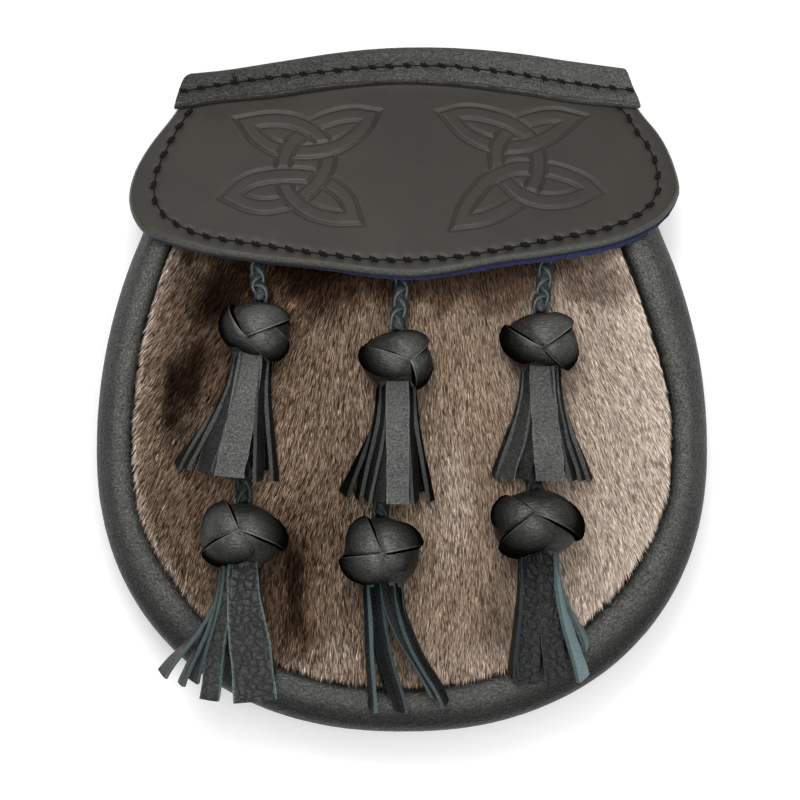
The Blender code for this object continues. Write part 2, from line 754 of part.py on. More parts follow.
def strip_body(root, ahead, strip, edge):
    """A leather strip that leaves its root in the direction ahead and lands on its tip."""
    angle, root_width, tip_x, tip_y, tip_rise, tip_width, roll = strip
    tip = Vector((tip_x, tip_y, front_height(tip_x, tip_y, edge) + tip_rise))
    reach = (tip - root).length * STRIP_REACH
    flat = Vector((tip.x - root.x, tip.y - root.y, 0)).normalized()
    landing = tip - flat * reach * STRIP_LANDING + Vector((0, 0, (root.z - tip.z) * STRIP_FALL))
    corners = (root, root + ahead * reach + Vector((0, 0, STRIP_RISE)), landing, tip)
    twist = (angle - roll + 90) % 180 - 90  # the shorter way from the collar's side to the roll
    rings = []
    for step in range(STRIP_STEPS + 1):
        t = step / STRIP_STEPS
        place, heading = bezier(corners, t)
        level = heading.cross(Vector((0, 0, 1))).normalized()
        square = level.cross(heading)
        turn = math.radians(twist * t - angle)
        width = root_width + (tip_width - root_width) * min(1.0, STRIP_WIDENING * t)
        wide = (square * math.sin(turn) - level * math.cos(turn)) * width / 2
        thick = (square * math.cos(turn) + level * math.sin(turn)) * STRIP_THICK / 2
        corner = place - wide
        opposite = place + wide
        rings.append([corner - thick, opposite - thick, opposite + thick, corner + thick])
    return loft(rings)


def make_skirt(tassel, edge, parent):
    """The strips of a tassel, fused to the rolled collar that the head is tied round."""
    name = tassel[0]
    head = head_place(tassel, edge)
    start = head.middle + head.axis * (head.half_length * HEAD_PROFILE[-1][0] + GAP)

    def round_collar(angle, share):
        across = head.side * math.sin(angle) * COLLAR_WIDTH / 2
        return (across + head.up * math.cos(angle) * COLLAR_DEPTH / 2) * share

    angles = [math.tau * (n + 0.5) / COLLAR_SIDES for n in range(COLLAR_SIDES)]
    rings = []
    for distance, share in COLLAR_PROFILE:
        centre = start + head.axis * distance
        rings.append([centre + round_collar(angle, share) for angle in angles])
    skirt = mesh_object("skirt_" + name, *loft(rings), "strip_leather", parent)
    ahead = Vector((head.axis.x, head.axis.y, 0)).normalized()
    points, faces = [], []
    for strip in STRIPS[name]:
        root = start + head.axis * ROOT_START + round_collar(math.radians(strip[0]), ROOT_DEPTH)
        more_points, more_faces = strip_body(root, ahead, strip, edge)
        faces += [tuple(corner + len(points) for corner in face) for face in more_faces]
        points += more_points
    strips = mesh_object("strips_" + name, points, faces, "strip_leather", parent)
    strips.hide_render = True
    strips.display_type = "WIRE"
    union = skirt.modifiers.new("strips", "BOOLEAN")
    union.operation = "UNION"
    union.object = strips
    union.solver = "EXACT"
    union.use_self = True


def cord_line(tassel, edge):
    """The middle line of the cord that ends at a tassel's head."""
    head = head_place(tassel, edge)
    rows = [(x, y, front_height(x, y, edge) + rise) for x, y, rise in CORDS[tassel[0]]]
    end = head.middle + head.axis * (head.half_length * HEAD_PROFILE[0][0] - CORD_GAP)
    rows.append(tuple(end - head.axis * CORD_STRAIGHT))
    line = smooth_curve(rows, CORD_CURVE_STEPS)
    line = spaced(line, max(CORD_LEAST_POINTS, round(along(line)[-1] / CORD_STEP) + 1))
    return np.vstack([line, end])


def make_cord(tassel, edge, parent):
    name = "cord_" + tassel[0]
    line = cord_line(tassel, edge)
    curve = bpy.data.curves.new(name, "CURVE")
    curve.dimensions = "3D"
    curve.bevel_depth = CORD_DIAMETER / 2
    curve.bevel_resolution = 2
    curve.use_fill_caps = True
    spline = curve.splines.new("POLY")
    spline.points.add(len(line) - 1)
    for point, place in zip(spline.points, line):
        point.co = (*place, 1)
    spline.use_smooth = True
    curve.materials.append(material("cord_leather"))
    cord = bpy.data.objects.new(name, curve)
    bpy.context.scene.collection.objects.link(cord)
    cord.parent = parent


def make_tassels(edge, parent):
    for tassel in TASSELS:
        make_head(tassel, edge, parent)
        make_skirt(tassel, edge, parent)
        make_cord(tassel, edge, parent)


def make_pouch():
    clear_scene()
    pouch = bpy.data.objects.new("sporran_pouch", None)
    bpy.context.scene.collection.objects.link(pouch)
    edge = edge_line(HIDE_EDGE_POINTS)
    make_back_panel(pouch)
    make_gusset(pouch)
    make_front_panel(edge, pouch)
    make_flap(pouch)
    make_top_binding(pouch)
    make_belt_loops(pouch)
    make_tassels(edge, pouch)


make_pouch()
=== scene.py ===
"""Looks of the sporran pouch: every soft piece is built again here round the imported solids.

Metres, +Z up, +Y towards the top edge of the pouch. The sizes and routes are those of the solids. The
places of the seams and of the embossed knots are given as spots of an 800 x 800 picture, and are put
onto the leather that the camera sees there.
"""

import itertools
import math

import bpy
import numpy as np
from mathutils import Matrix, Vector, geometry

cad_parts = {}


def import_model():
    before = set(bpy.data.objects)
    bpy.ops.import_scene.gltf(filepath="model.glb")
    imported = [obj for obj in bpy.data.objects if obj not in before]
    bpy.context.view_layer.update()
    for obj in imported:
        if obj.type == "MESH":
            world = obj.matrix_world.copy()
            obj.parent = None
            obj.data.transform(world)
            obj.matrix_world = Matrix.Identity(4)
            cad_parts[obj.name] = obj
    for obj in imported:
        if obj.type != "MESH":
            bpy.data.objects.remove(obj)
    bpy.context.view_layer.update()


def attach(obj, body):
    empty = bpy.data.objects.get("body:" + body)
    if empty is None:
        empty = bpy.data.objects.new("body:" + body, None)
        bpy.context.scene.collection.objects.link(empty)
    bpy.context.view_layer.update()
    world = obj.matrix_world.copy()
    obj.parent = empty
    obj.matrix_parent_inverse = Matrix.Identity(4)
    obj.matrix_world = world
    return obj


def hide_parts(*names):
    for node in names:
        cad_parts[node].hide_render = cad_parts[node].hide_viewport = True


# The camera
CAMERA = (-0.0006, -0.00385, 0.850)
LENS = 119.95
SENSOR = 36.0
PICTURE = 800
FOCAL = LENS / SENSOR * PICTURE

# Sizes of the solids
HALF_WIDTH = 0.0950
HALF_LENGTH = 0.10705
WIDEST_Y = -0.01885
ROUNDNESS = 2.2
SIDE_CURVE = 3.17
SIDE_STRAIGHT_Y = 0.046
SIDE_STRAIGHT_SLOPE = -0.35
GUSSET_TOP_Y = 0.0715
MOUTH_Y = 0.0675
RIM_HEIGHT = 0.0340
BACK_Z = 0.0066
BACK_THICK = 0.0020
GUSSET_THICK = 0.0016
FRONT_THICK = 0.0022
LINING_THICK = 0.0012
FLAP_THICK = 0.0024
BINDING_THICK = 0.0012
GAP = 0.0003
STACK_Z = BACK_Z + BACK_THICK + GAP
LINING_GAP = 0.0005
STACK_THICK = LINING_THICK + LINING_GAP + FLAP_THICK
FLAP_SLOPE = 0.53
BEND_Y = 0.0950
BEND_ARCH = 0.58
BEND_SOFT = 0.0020
RIM_CLEARANCE = 0.0008
RIM_SOFT = 0.0024
RIM_PRESS_X = HALF_WIDTH * 0.8
FAN_CENTRE_Y = -0.0200
CROWN_Z = 0.0395
CROWN_TO_BOTTOM = 0.0715
CROWN_TO_MOUTH = 0.0875
BOTTOM_Z = 0.0314
MOUTH_Z = 0.0160
CROWN_FALL = 1.6
CROWN_ROUND = 2.4
OUTLINE_POINTS = 721
RIM_WIDTH = (
    # degrees round the fan's centre from straight down, width
    (-140.0, 0.0108), (-117.0, 0.0116), (-100.0, 0.0125), (-78.0, 0.0128), (-62.0, 0.0155),
    (-35.0, 0.0163), (0.0, 0.0155), (25.0, 0.0163), (50.0, 0.0176), (66.0, 0.0160), (82.0, 0.0128),
    (100.0, 0.0124), (117.0, 0.0143), (140.0, 0.0145),
)
RIM_WIDTH_OF_SECTION = 0.0120
GUSSET_SECTION = (
    # inset, z, share of the rim's fall at the mouth
    (0.0160, 0.0089, 0.0), (0.0113, 0.0089, 0.0), (0.0100, 0.0042, 0.0), (0.0076, 0.0009, 0.0),
    (0.0052, 0.0000, 0.0), (0.0024, 0.0014, 0.0), (0.0005, 0.0060, 0.1), (0.0000, 0.0140, 0.45),
    (0.0003, 0.0230, 0.85), (0.0015, 0.0288, 1.0), (0.0040, 0.0328, 1.0), (0.0070, 0.0340, 1.0),
    (0.0100, 0.0324, 1.0), (0.0116, 0.0286, 1.0), (0.0170, 0.0280, 1.0),
)
BACK_EDGE_GAP = 0.0005
BACK_CORNER_RISE = 0.0016
FRONT_EDGE_INSET = 0.0005
BINDING_LINE = (
    # x of the fold, y of the fold, x of the lower edge, y of the lower edge
    (-0.0684, 0.0986, -0.0709, 0.0848), (-0.0550, 0.0999, -0.0565, 0.0871),
    (-0.0386, 0.1025, -0.0397, 0.0888), (-0.0200, 0.1054, -0.0206, 0.0920),
    (-0.0030, 0.1069, -0.0019, 0.0937), (0.0160, 0.1069, 0.0163, 0.0929),
    (0.0350, 0.1054, 0.0357, 0.0901), (0.0530, 0.1028, 0.0545, 0.0869),
    (0.0704, 0.1005, 0.0744, 0.0852),
)
BINDING_BACK_WIDTH = 0.0095
FLAP_EDGE = (
    # x, y
    (-0.0655, 0.0968), (-0.0690, 0.0900), (-0.0710, 0.0846), (-0.0781, 0.0743), (-0.0823, 0.0660),
    (-0.0839, 0.0580), (-0.0826, 0.0515), (-0.0791, 0.0464), (-0.0744, 0.0441), (-0.0616, 0.0402),
    (-0.0469, 0.0377), (-0.0248, 0.0352), (0.0030, 0.0324), (0.0297, 0.0367), (0.0452, 0.0389),
    (0.0647, 0.0428), (0.0765, 0.0482), (0.0816, 0.0525), (0.0848, 0.0576), (0.0854, 0.0620),
    (0.0832, 0.0709), (0.0798, 0.0780), (0.0738, 0.0865), (0.0690, 0.0985),
)
TOP_EDGE_INSET = 0.0022
LOOP_X = 0.0400
LOOP_Y = 0.0500
LOOP_WIDTH = 0.0180
LOOP_THICK = 0.0016
LOOP_OUTER_Z = 0.0002
LOOP_INNER_Z = BACK_Z - GAP - LOOP_THICK
LOOP_SECTION = (
    # y from the middle of the loop, z of the face towards the wearer
    (-0.0260, LOOP_INNER_Z), (-0.0190, LOOP_INNER_Z), (-0.0150, LOOP_OUTER_Z),
    (0.0150, LOOP_OUTER_Z), (0.0190, LOOP_INNER_Z), (0.0260, LOOP_INNER_Z),
)
HEAD_DEPTH = 0.86
HEAD_LIFT = 0.0009
HEAD_START = -0.97  # where the cord meets a head, as a share of its half length
HEAD_END = 0.97
TASSELS = (
    # name, x, y, width and length of the head, x of the collar's foot, tilt
    ("upper_left", -0.0442, 0.0169, 0.0222, 0.0196, -0.0466, 16),
    ("upper_middle", -0.0016, 0.0082, 0.0226, 0.0186, -0.0016, 16),
    ("upper_right", 0.0418, 0.0133, 0.0236, 0.0196, 0.0418, 16),
    ("lower_left", -0.0482, -0.0448, 0.0264, 0.0210, -0.0490, 22),
    ("lower_middle", -0.0061, -0.0500, 0.0242, 0.0236, -0.0050, 22),
    ("lower_right", 0.0403, -0.0412, 0.0276, 0.0220, 0.0412, 24),
)
COLLAR_WIDTH = 0.0128
COLLAR_DEPTH = 0.0092
ROOT_DEPTH = 0.80
ROOT_START = 0.0010
STRIP_THICK = 0.0013
STRIP_RISE = 0.0012
STRIP_REACH = 0.36
STRIP_FALL = 0.30
STRIPS = {
    "upper_left": (
        # angle, root width, x and y of the tip, rise, tip width, roll
        (-4, 0.0070, -0.0519, -0.0270, 0.0085, 0.0088, 0),
        (-50, 0.0044, -0.0604, -0.0256, 0.0066, 0.0060, -24),
        (-84, 0.0040, -0.0656, -0.0246, 0.0056, 0.0048, -62),
        (-122, 0.0038, -0.0688, -0.0239, 0.0040, 0.0040, -56),
        (46, 0.0044, -0.0434, -0.0282, 0.0076, 0.0044, 62),
        (82, 0.0040, -0.0386, -0.0285, 0.0042, 0.0046, 70),
        (126, 0.0038, -0.0402, -0.0250, 0.0026, 0.0040, 30),
    ),
    "upper_middle": (
        (2, 0.0070, -0.0012, -0.0351, 0.0086, 0.0067, 0),
        (-46, 0.0040, -0.0104, -0.0342, 0.0056, 0.0036, -62),
        (-76, 0.0038, -0.0136, -0.0336, 0.0042, 0.0042, -66),
        (-112, 0.0038, -0.0174, -0.0324, 0.0034, 0.0048, -50),
        (52, 0.0042, 0.0042, -0.0345, 0.0058, 0.0038, 64),
        (88, 0.0038, 0.0090, -0.0345, 0.0038, 0.0046, 70),
        (130, 0.0038, 0.0056, -0.0316, 0.0024, 0.0040, 20),
    ),
    "upper_right": (
        (2, 0.0072, 0.0444, -0.0282, 0.0102, 0.0086, 0),
        (-52, 0.0048, 0.0318, -0.0276, 0.0048, 0.0064, -14),
        (-86, 0.0038, 0.0286, -0.0270, 0.0030, 0.0036, -66),
        (46, 0.0042, 0.0516, -0.0282, 0.0068, 0.0044, 62),
        (74, 0.0038, 0.0544, -0.0282, 0.0056, 0.0044, 66),
        (106, 0.0038, 0.0572, -0.0279, 0.0040, 0.0042, 70),
        (144, 0.0036, 0.0496, -0.0250, 0.0026, 0.0044, 16),
    ),
    "lower_left": (
        (10, 0.0084, -0.0443, -0.0953, 0.0062, 0.0130, 0),
        (-42, 0.0048, -0.0594, -0.0953, 0.0052, 0.0062, -12),
        (-72, 0.0040, -0.0636, -0.0898, 0.0048, 0.0042, -40),
        (-100, 0.0038, -0.0674, -0.0905, 0.0040, 0.0042, -60),
        (-132, 0.0038, -0.0728, -0.0880, 0.0036, 0.0052, -50),
        (72, 0.0040, -0.0400, -0.0880, 0.0056, 0.0050, 60),
        (124, 0.0038, -0.0450, -0.0860, 0.0046, 0.0060, 10),
    ),
    "lower_middle": (
        (-70, 0.0040, -0.0085, -0.0986, 0.0052, 0.0046, -66),
        (-28, 0.0046, -0.0008, -0.0989, 0.0060, 0.0048, -40),
        (14, 0.0046, 0.0106, -0.0928, 0.0084, 0.0042, 36),
        (56, 0.0040, 0.0130, -0.0965, 0.0062, 0.0044, 60),
        (96, 0.0038, 0.0092, -0.0930, 0.0052, 0.0046, 50),
        (-120, 0.0038, -0.0040, -0.0930, 0.0048, 0.0040, -20),
    ),
    "lower_right": (
        (-30, 0.0060, 0.0378, -0.0898, 0.0066, 0.0070, -6),
        (30, 0.0060, 0.0468, -0.0901, 0.0070, 0.0070, 4),
        (74, 0.0040, 0.0546, -0.0886, 0.0064, 0.0054, 48),
        (-82, 0.0040, 0.0334, -0.0877, 0.0056, 0.0050, -72),
        (108, 0.0038, 0.0560, -0.0790, 0.0052, 0.0044, 60),
        (-136, 0.0038, 0.0370, -0.0850, 0.0044, 0.0050, 0),
    ),
}
CORD_DIAMETER = 0.0048
CORD_GAP = 0.0004
CORD_STRAIGHT = 0.0024
CORDS = {
    # x, y, rise over the hide
    "upper_left": (
        (-0.0430, 0.0535, 0.0032), (-0.0438, 0.0450, 0.0034),
        (-0.0442, 0.0390, 0.0045), (-0.0440, 0.0320, 0.0064),
    ),
    "upper_middle": (
        (0.0000, 0.0500, 0.0034), (0.0000, 0.0420, 0.0037),
        (0.0000, 0.0340, 0.0050), (-0.0006, 0.0250, 0.0070),
    ),
    "upper_right": (
        (0.0430, 0.0535, 0.0032), (0.0438, 0.0450, 0.0034),
        (0.0440, 0.0375, 0.0046), (0.0430, 0.0290, 0.0068),
    ),
    "lower_left": (
        (-0.0464, 0.0056, 0.0030), (-0.0468, -0.0060, 0.0030),
        (-0.0474, -0.0180, 0.0030), (-0.0480, -0.0266, 0.0038),
    ),
    "lower_middle": (
        (-0.0034, -0.0018, 0.0030), (-0.0046, -0.0130, 0.0030),
        (-0.0054, -0.0240, 0.0031), (-0.0058, -0.0320, 0.0044),
    ),
    "lower_right": (
        (0.0404, 0.0020, 0.0030), (0.0396, -0.0070, 0.0030),
        (0.0386, -0.0160, 0.0030), (0.0382, -0.0234, 0.0034),
    ),
}

# The heads: the spot where three bands meet, then the headings of the three seams that leave it, in
# degrees from straight up, + clockwise. Each band lies on the anticlockwise side of its own seam.
JUNCTIONS = {
    "upper_left": ((246, 336), (-39, 67, 149)),
    "upper_middle": ((410, 360), (-67, 54, 157)),
    "upper_right": ((542, 347), (-58, 54, 141)),
    "lower_left": ((239, 530), (-20, 112, -120)),
    "lower_middle": ((382, 554), (-22, 78, -96)),
    "lower_right": ((536, 514), (-42, 116, -129)),
}

# Seams, as spots of the picture
FLAP_SEAM = (
    (198, 100), (191.8, 109), (183.6, 119), (172.2, 138), (162, 158), (155, 176), (153.3, 192),
    (157, 206), (168, 218.5), (194.4, 233), (225, 239.6), (270, 246), (316, 253), (361, 258.3),
    (394, 260), (425, 259), (456, 257), (503, 249), (550, 240), (598, 230.7), (629, 220), (645, 209.5),
    (654.5, 199), (658.4, 186), (656, 163.6), (648, 146), (636.8, 131.8), (628, 117), (619, 106),
)
BINDING_SEAM = (
    (184, 91.5), (204, 88), (240, 82), (272, 78), (306, 74), (340, 70.4), (374, 67.6), (407, 65.8),
    (441, 65.8), (467, 68), (493, 71), (528, 76), (560, 81.5), (595, 86.5), (630, 90.6),
)

# Loose ends of the thread of the binding: where, and each end's angle to the seam and length
THREAD_ENDS = (((240, 82), ((82, 0.0036), (100, 0.0030), (60, 0.0020))), ((542, 79), ((-95, 0.0022),)))

# The embossed knots, as spots of the picture: the middles of their four strands, from tip to tip, and where
# they cross
KNOTS = (
    {
        "strands": (
            ((247, 123), (261, 120.5), (278, 119.5), (295, 122), (312, 130), (324, 142), (328, 156),
             (325, 170), (317, 182), (305, 193), (288, 202), (266, 206.5), (247, 203.5), (231, 196)),
            ((369.5, 116), (354, 114), (337, 116.5), (320, 122.5), (302, 132.5), (289, 147), (283.5, 162),
             (283, 176), (287, 190), (298, 203), (314, 212.5), (335, 217.5), (353.5, 217.5)),
            ((369.5, 116), (364, 126), (352, 137), (336, 146), (315, 150.5), (293, 151), (273, 147),
             (257, 136.5), (247, 123)),
            ((231, 196), (241, 186.5), (256, 179), (277, 175.5), (298, 175), (318, 178), (334, 186),
             (347, 199), (353.5, 217.5)),
        ),
        "crossings": ((311, 129), (327, 147), (287, 150), (283, 175), (320, 178), (297, 200)),
    },
    {
        "strands": (
            ((450, 115.5), (462, 112.6), (477, 113), (494.6, 116.8), (511, 123), (525, 131.8), (534.3, 141),
             (538, 153), (539, 167), (536.6, 179), (531, 189.5), (523, 197.5), (512.5, 205), (498, 212.7),
             (482, 218.6), (461, 221.5)),
            ((571.5, 118.7), (560, 116), (549, 115.5), (537.5, 117.5), (523, 122), (511, 129), (502, 138),
             (497.3, 149.5), (497.3, 162), (501, 174.3), (509, 184), (519.6, 193), (536, 199.6),
             (555.4, 201.4), (575, 198), (592, 190)),
            ((571.5, 118.7), (564, 125.5), (555.5, 132), (543.5, 138.5), (530.4, 143.8), (510.7, 146.3),
             (493, 144.3), (477, 138.6), (462.5, 129.6), (450, 115.5)),
            ((461, 221), (463.6, 212.6), (467.6, 204), (473.2, 196), (481, 186.5), (490, 178), (512.5, 168.6),
             (530.4, 167.5), (548, 169.3), (566, 174.3), (582, 181.4), (592, 190)),
        ),
        "crossings": ((515, 126), (535, 144), (499, 145), (500, 171), (538.5, 168), (525, 196)),
    },
)
CROSSED = ((0, 1), (2, 0), (1, 2), (3, 1), (0, 3), (1, 0))  # the strand above and below at each crossing
BAND_WIDTH = 0.0045
GROOVE_DEPTH = 0.00058
GROOVE_WIDTH = 0.00052
BAND_RAISE = 0.00016
TIP_REACH = 0.0085
TIP_RUN = 0.0120
TIPS_MEET = 0.0020


# Numbers that look random but are the same each run


def hashed(cells, seed):
    """A number from 0 to 1 for each cell of whole numbers, mixed by large primes."""
    cells = cells.astype(np.int64)
    mixed = cells[..., 0] * 73856093 ^ cells[..., 1] * 19349663 ^ cells[..., 2] * 83492791 ^ seed * 2654435761
    mixed = ((mixed ^ (mixed >> 13)) * 1274126177) & 0xFFFFFFFF
    mixed = ((mixed ^ (mixed >> 15)) * 2246822519) & 0xFFFFFFFF
    return ((mixed ^ (mixed >> 16)) & 0xFFFFFF) / 0xFFFFFF


def noise(points, size, seed=0):
    """Smooth noise from -1 to 1 at points, of about this size, which may differ on each axis.

    Points in plan are taken at height 0.
    """
    scaled = np.asarray(points, float) / size
    if scaled.shape[-1] == 2:
        scaled = np.concatenate([scaled, np.zeros_like(scaled[..., :1])], -1)
    cell = np.floor(scaled)
    part = scaled - cell
    part = part * part * (3 - 2 * part)
    total = 0.0
    for corner in np.ndindex(2, 2, 2):
        corner = np.array(corner)
        weight = np.where(corner, part, 1 - part).prod(-1)
        total = total + weight * hashed(cell + corner, seed)
    return 2 * total - 1


# Lines and surfaces that the pieces follow


def smooth_curve(rows, steps):
    """A smooth line through all of these rows, with this many steps between two of them."""
    rows = np.array(rows, float)
    ends = np.vstack([2 * rows[0] - rows[1], rows, 2 * rows[-1] - rows[-2]])
    share = np.linspace(0, 1, steps, endpoint=False)[:, None]
    found = []
    for n in range(1, len(ends) - 2):
        before, start, end, after = ends[n - 1 : n + 3]
        found.append(
            0.5
            * (
                2 * start
                + (end - before) * share
                + (2 * before - 5 * start + 4 * end - after) * share**2
                + (3 * start - before - 3 * end + after) * share**3
            )
        )
    found.append(rows[-1:])
    return np.vstack(found)


def along(points):
    """The length of a line from its start to each of its points."""
    steps = np.linalg.norm(np.diff(points, axis=0), axis=1)
    return np.concatenate([[0.0], np.cumsum(steps)])


def spaced(points, count):
    """The same line with this many evenly spaced points."""
    length = along(points)
    places = np.linspace(0, length[-1], count)
    return np.column_stack([np.interp(places, length, column) for column in points.T])


def outlined(corners, pitch):
    """A closed loop of points about a pitch apart, without a second copy of the first."""
    closed = np.vstack([corners, corners[:1]])
    return spaced(closed, round(along(closed)[-1] / pitch))[:-1]


def unit(vectors):
    return vectors / np.linalg.norm(vectors, axis=-1, keepdims=True)


def half_width(y):
    share = np.clip((WIDEST_Y - y) / (HALF_LENGTH + WIDEST_Y), 0, 1)
    lower = HALF_WIDTH * (1 - share**ROUNDNESS) ** (1 / ROUNDNESS)
    curved = np.minimum(y, SIDE_STRAIGHT_Y)
    upper = HALF_WIDTH - SIDE_CURVE * (curved - WIDEST_Y) ** 2 + SIDE_STRAIGHT_SLOPE * (y - curved)
    return np.where(y <= WIDEST_Y, lower, upper)


def rim_width(points):
    angles, widths = np.array(RIM_WIDTH).T
    return np.interp(np.degrees(np.arctan2(points[:, 0], FAN_CENTRE_Y - points[:, 1])), angles, widths)


def to_left(vectors):
    """Plan vectors, turned a quarter to the left."""
    return np.column_stack([-vectors[:, 1], vectors[:, 0]])


def left_of_loop(loop):
    return to_left(unit(np.roll(loop, -1, axis=0) - np.roll(loop, 1, axis=0)))


def body_line(top_y, inset, count):
    """Rows of a line inside the outline, the outline and its inward normal, from the left top round."""
    turn = math.pi / 2
    angles = np.linspace(-turn, turn, 241)
    sine, cosine = np.sin(angles), np.maximum(0, np.cos(angles))
    low_x = HALF_WIDTH * np.sign(sine) * np.abs(sine) ** (2 / ROUNDNESS)
    low_y = WIDEST_Y - (HALF_LENGTH + WIDEST_Y) * cosine ** (2 / ROUNDNESS)
    side_y = np.linspace(top_y, WIDEST_Y, 40, endpoint=False)
    side_x = half_width(side_y)
    x = np.concatenate([-side_x, low_x, side_x[::-1]])
    y = np.concatenate([side_y, low_y, side_y[::-1]])
    line = spaced(np.column_stack([x, y]), OUTLINE_POINTS)
    normal = to_left(unit(np.gradient(line, axis=0)))
    if callable(inset):
        inset = inset(line)[:, None]
    return spaced(np.hstack([line + normal * inset, line, normal]), count)


def top_line():
    """The line inside the binding's fold where the back and the flap end."""
    return smooth_curve([row[:2] for row in BINDING_LINE], 8) - np.array([0.0, TOP_EDGE_INSET])


def softly(value, width):
    """The value where it is positive, otherwise 0, with a bend this wide between them."""
    return width * np.logaddexp(0, value / width)


def under_flap(x, y):
    """Height of the underside of the flap's lining."""
    return STACK_Z + FLAP_SLOPE * softly(BEND_Y - BEND_ARCH * x * x - y, BEND_SOFT)


def over_flap(x, y, rise):
    """Points that lie this far above the underside of the lining, square to the leather."""
    step = 0.0005
    slope_x = (under_flap(x + step, y) - under_flap(x - step, y)) / (2 * step)
    slope_y = (under_flap(x, y + step) - under_flap(x, y - step)) / (2 * step)
    lean = rise / np.sqrt(slope_x**2 + slope_y**2 + 1)
    return np.stack([x - slope_x * lean, y - slope_y * lean, under_flap(x, y) + lean], -1)


def rim_height(y):
    free = RIM_HEIGHT - under_flap(RIM_PRESS_X, y) + RIM_CLEARANCE
    return RIM_HEIGHT - softly(free, RIM_SOFT)


def edge_line(count):
    """The edge of the hide."""
    line = body_line(
        GUSSET_TOP_Y + 0.002, lambda points: rim_width(points) + FRONT_EDGE_INSET, OUTLINE_POINTS
    )[:, :2]
    return spaced(line[line[:, 1] <= MOUTH_Y + 0.0005], count)


EDGE = edge_line(401)
LOW = int(EDGE[:, 1].argmin())


def side_of_edge(x, y):
    """How far the edge of the hide is from its middle, at this height and on this side."""
    right = np.interp(y, EDGE[LOW:, 1], EDGE[LOW:, 0])
    left = np.interp(y, EDGE[LOW::-1, 1], EDGE[LOW::-1, 0])
    return np.abs(np.where(x > EDGE[LOW, 0], right, left) - EDGE[LOW, 0])


def front_height(x, y):
    """Height of the hide's face."""
    x, y = np.asarray(x, float), np.asarray(y, float)
    reach = side_of_edge(x, y)
    across = np.minimum(1, np.abs(x - EDGE[LOW, 0]) / np.maximum(reach, 1e-6))
    down = np.maximum(0, FAN_CENTRE_Y - y) / CROWN_TO_BOTTOM
    up = np.maximum(0, y - FAN_CENTRE_Y) / CROWN_TO_MOUTH
    ridge = CROWN_Z - (CROWN_Z - BOTTOM_Z) * down**2 - (CROWN_Z - MOUTH_Z) * up**CROWN_FALL
    rim = rim_height(y) - (RIM_HEIGHT - BOTTOM_Z)
    return ridge - (ridge - rim) * across**CROWN_ROUND


def seen(spots, z):
    """Where the camera's rays through these spots of the picture are at a height."""
    reach = (CAMERA[2] - np.asarray(z, float)) / FOCAL
    x = CAMERA[0] + (spots[:, 0] - PICTURE / 2) * reach
    y = CAMERA[1] - (spots[:, 1] - PICTURE / 2) * reach
    return np.column_stack([x, y])


def on_flap(spots, rise):
    """Plan places whose points at this rise over the lining are seen at these spots."""
    spots = np.asarray(spots, float)
    plan = seen(spots, STACK_Z)
    for _ in range(12):
        there = over_flap(plan[:, 0], plan[:, 1], rise)
        plan = plan + seen(spots, there[:, 2]) - there[:, :2]
    return plan


# Mesh tools


def grid(rows, columns, around=False):
    index = np.arange(rows * columns).reshape(rows, columns)
    if around:
        index = np.hstack([index, index[:, :1]])
    corners = [index[:-1, :-1], index[1:, :-1], index[1:, 1:], index[:-1, 1:]]
    return np.stack(corners, -1).reshape(-1, 4)


def signed_volume(points, faces):
    total = 0.0
    for part in faces:
        for n in range(1, part.shape[1] - 1):
            first, second, third = points[part[:, 0]], points[part[:, n]], points[part[:, n + 1]]
            total += float(np.einsum("ij,ij->", first, np.cross(second, third)))
    return total


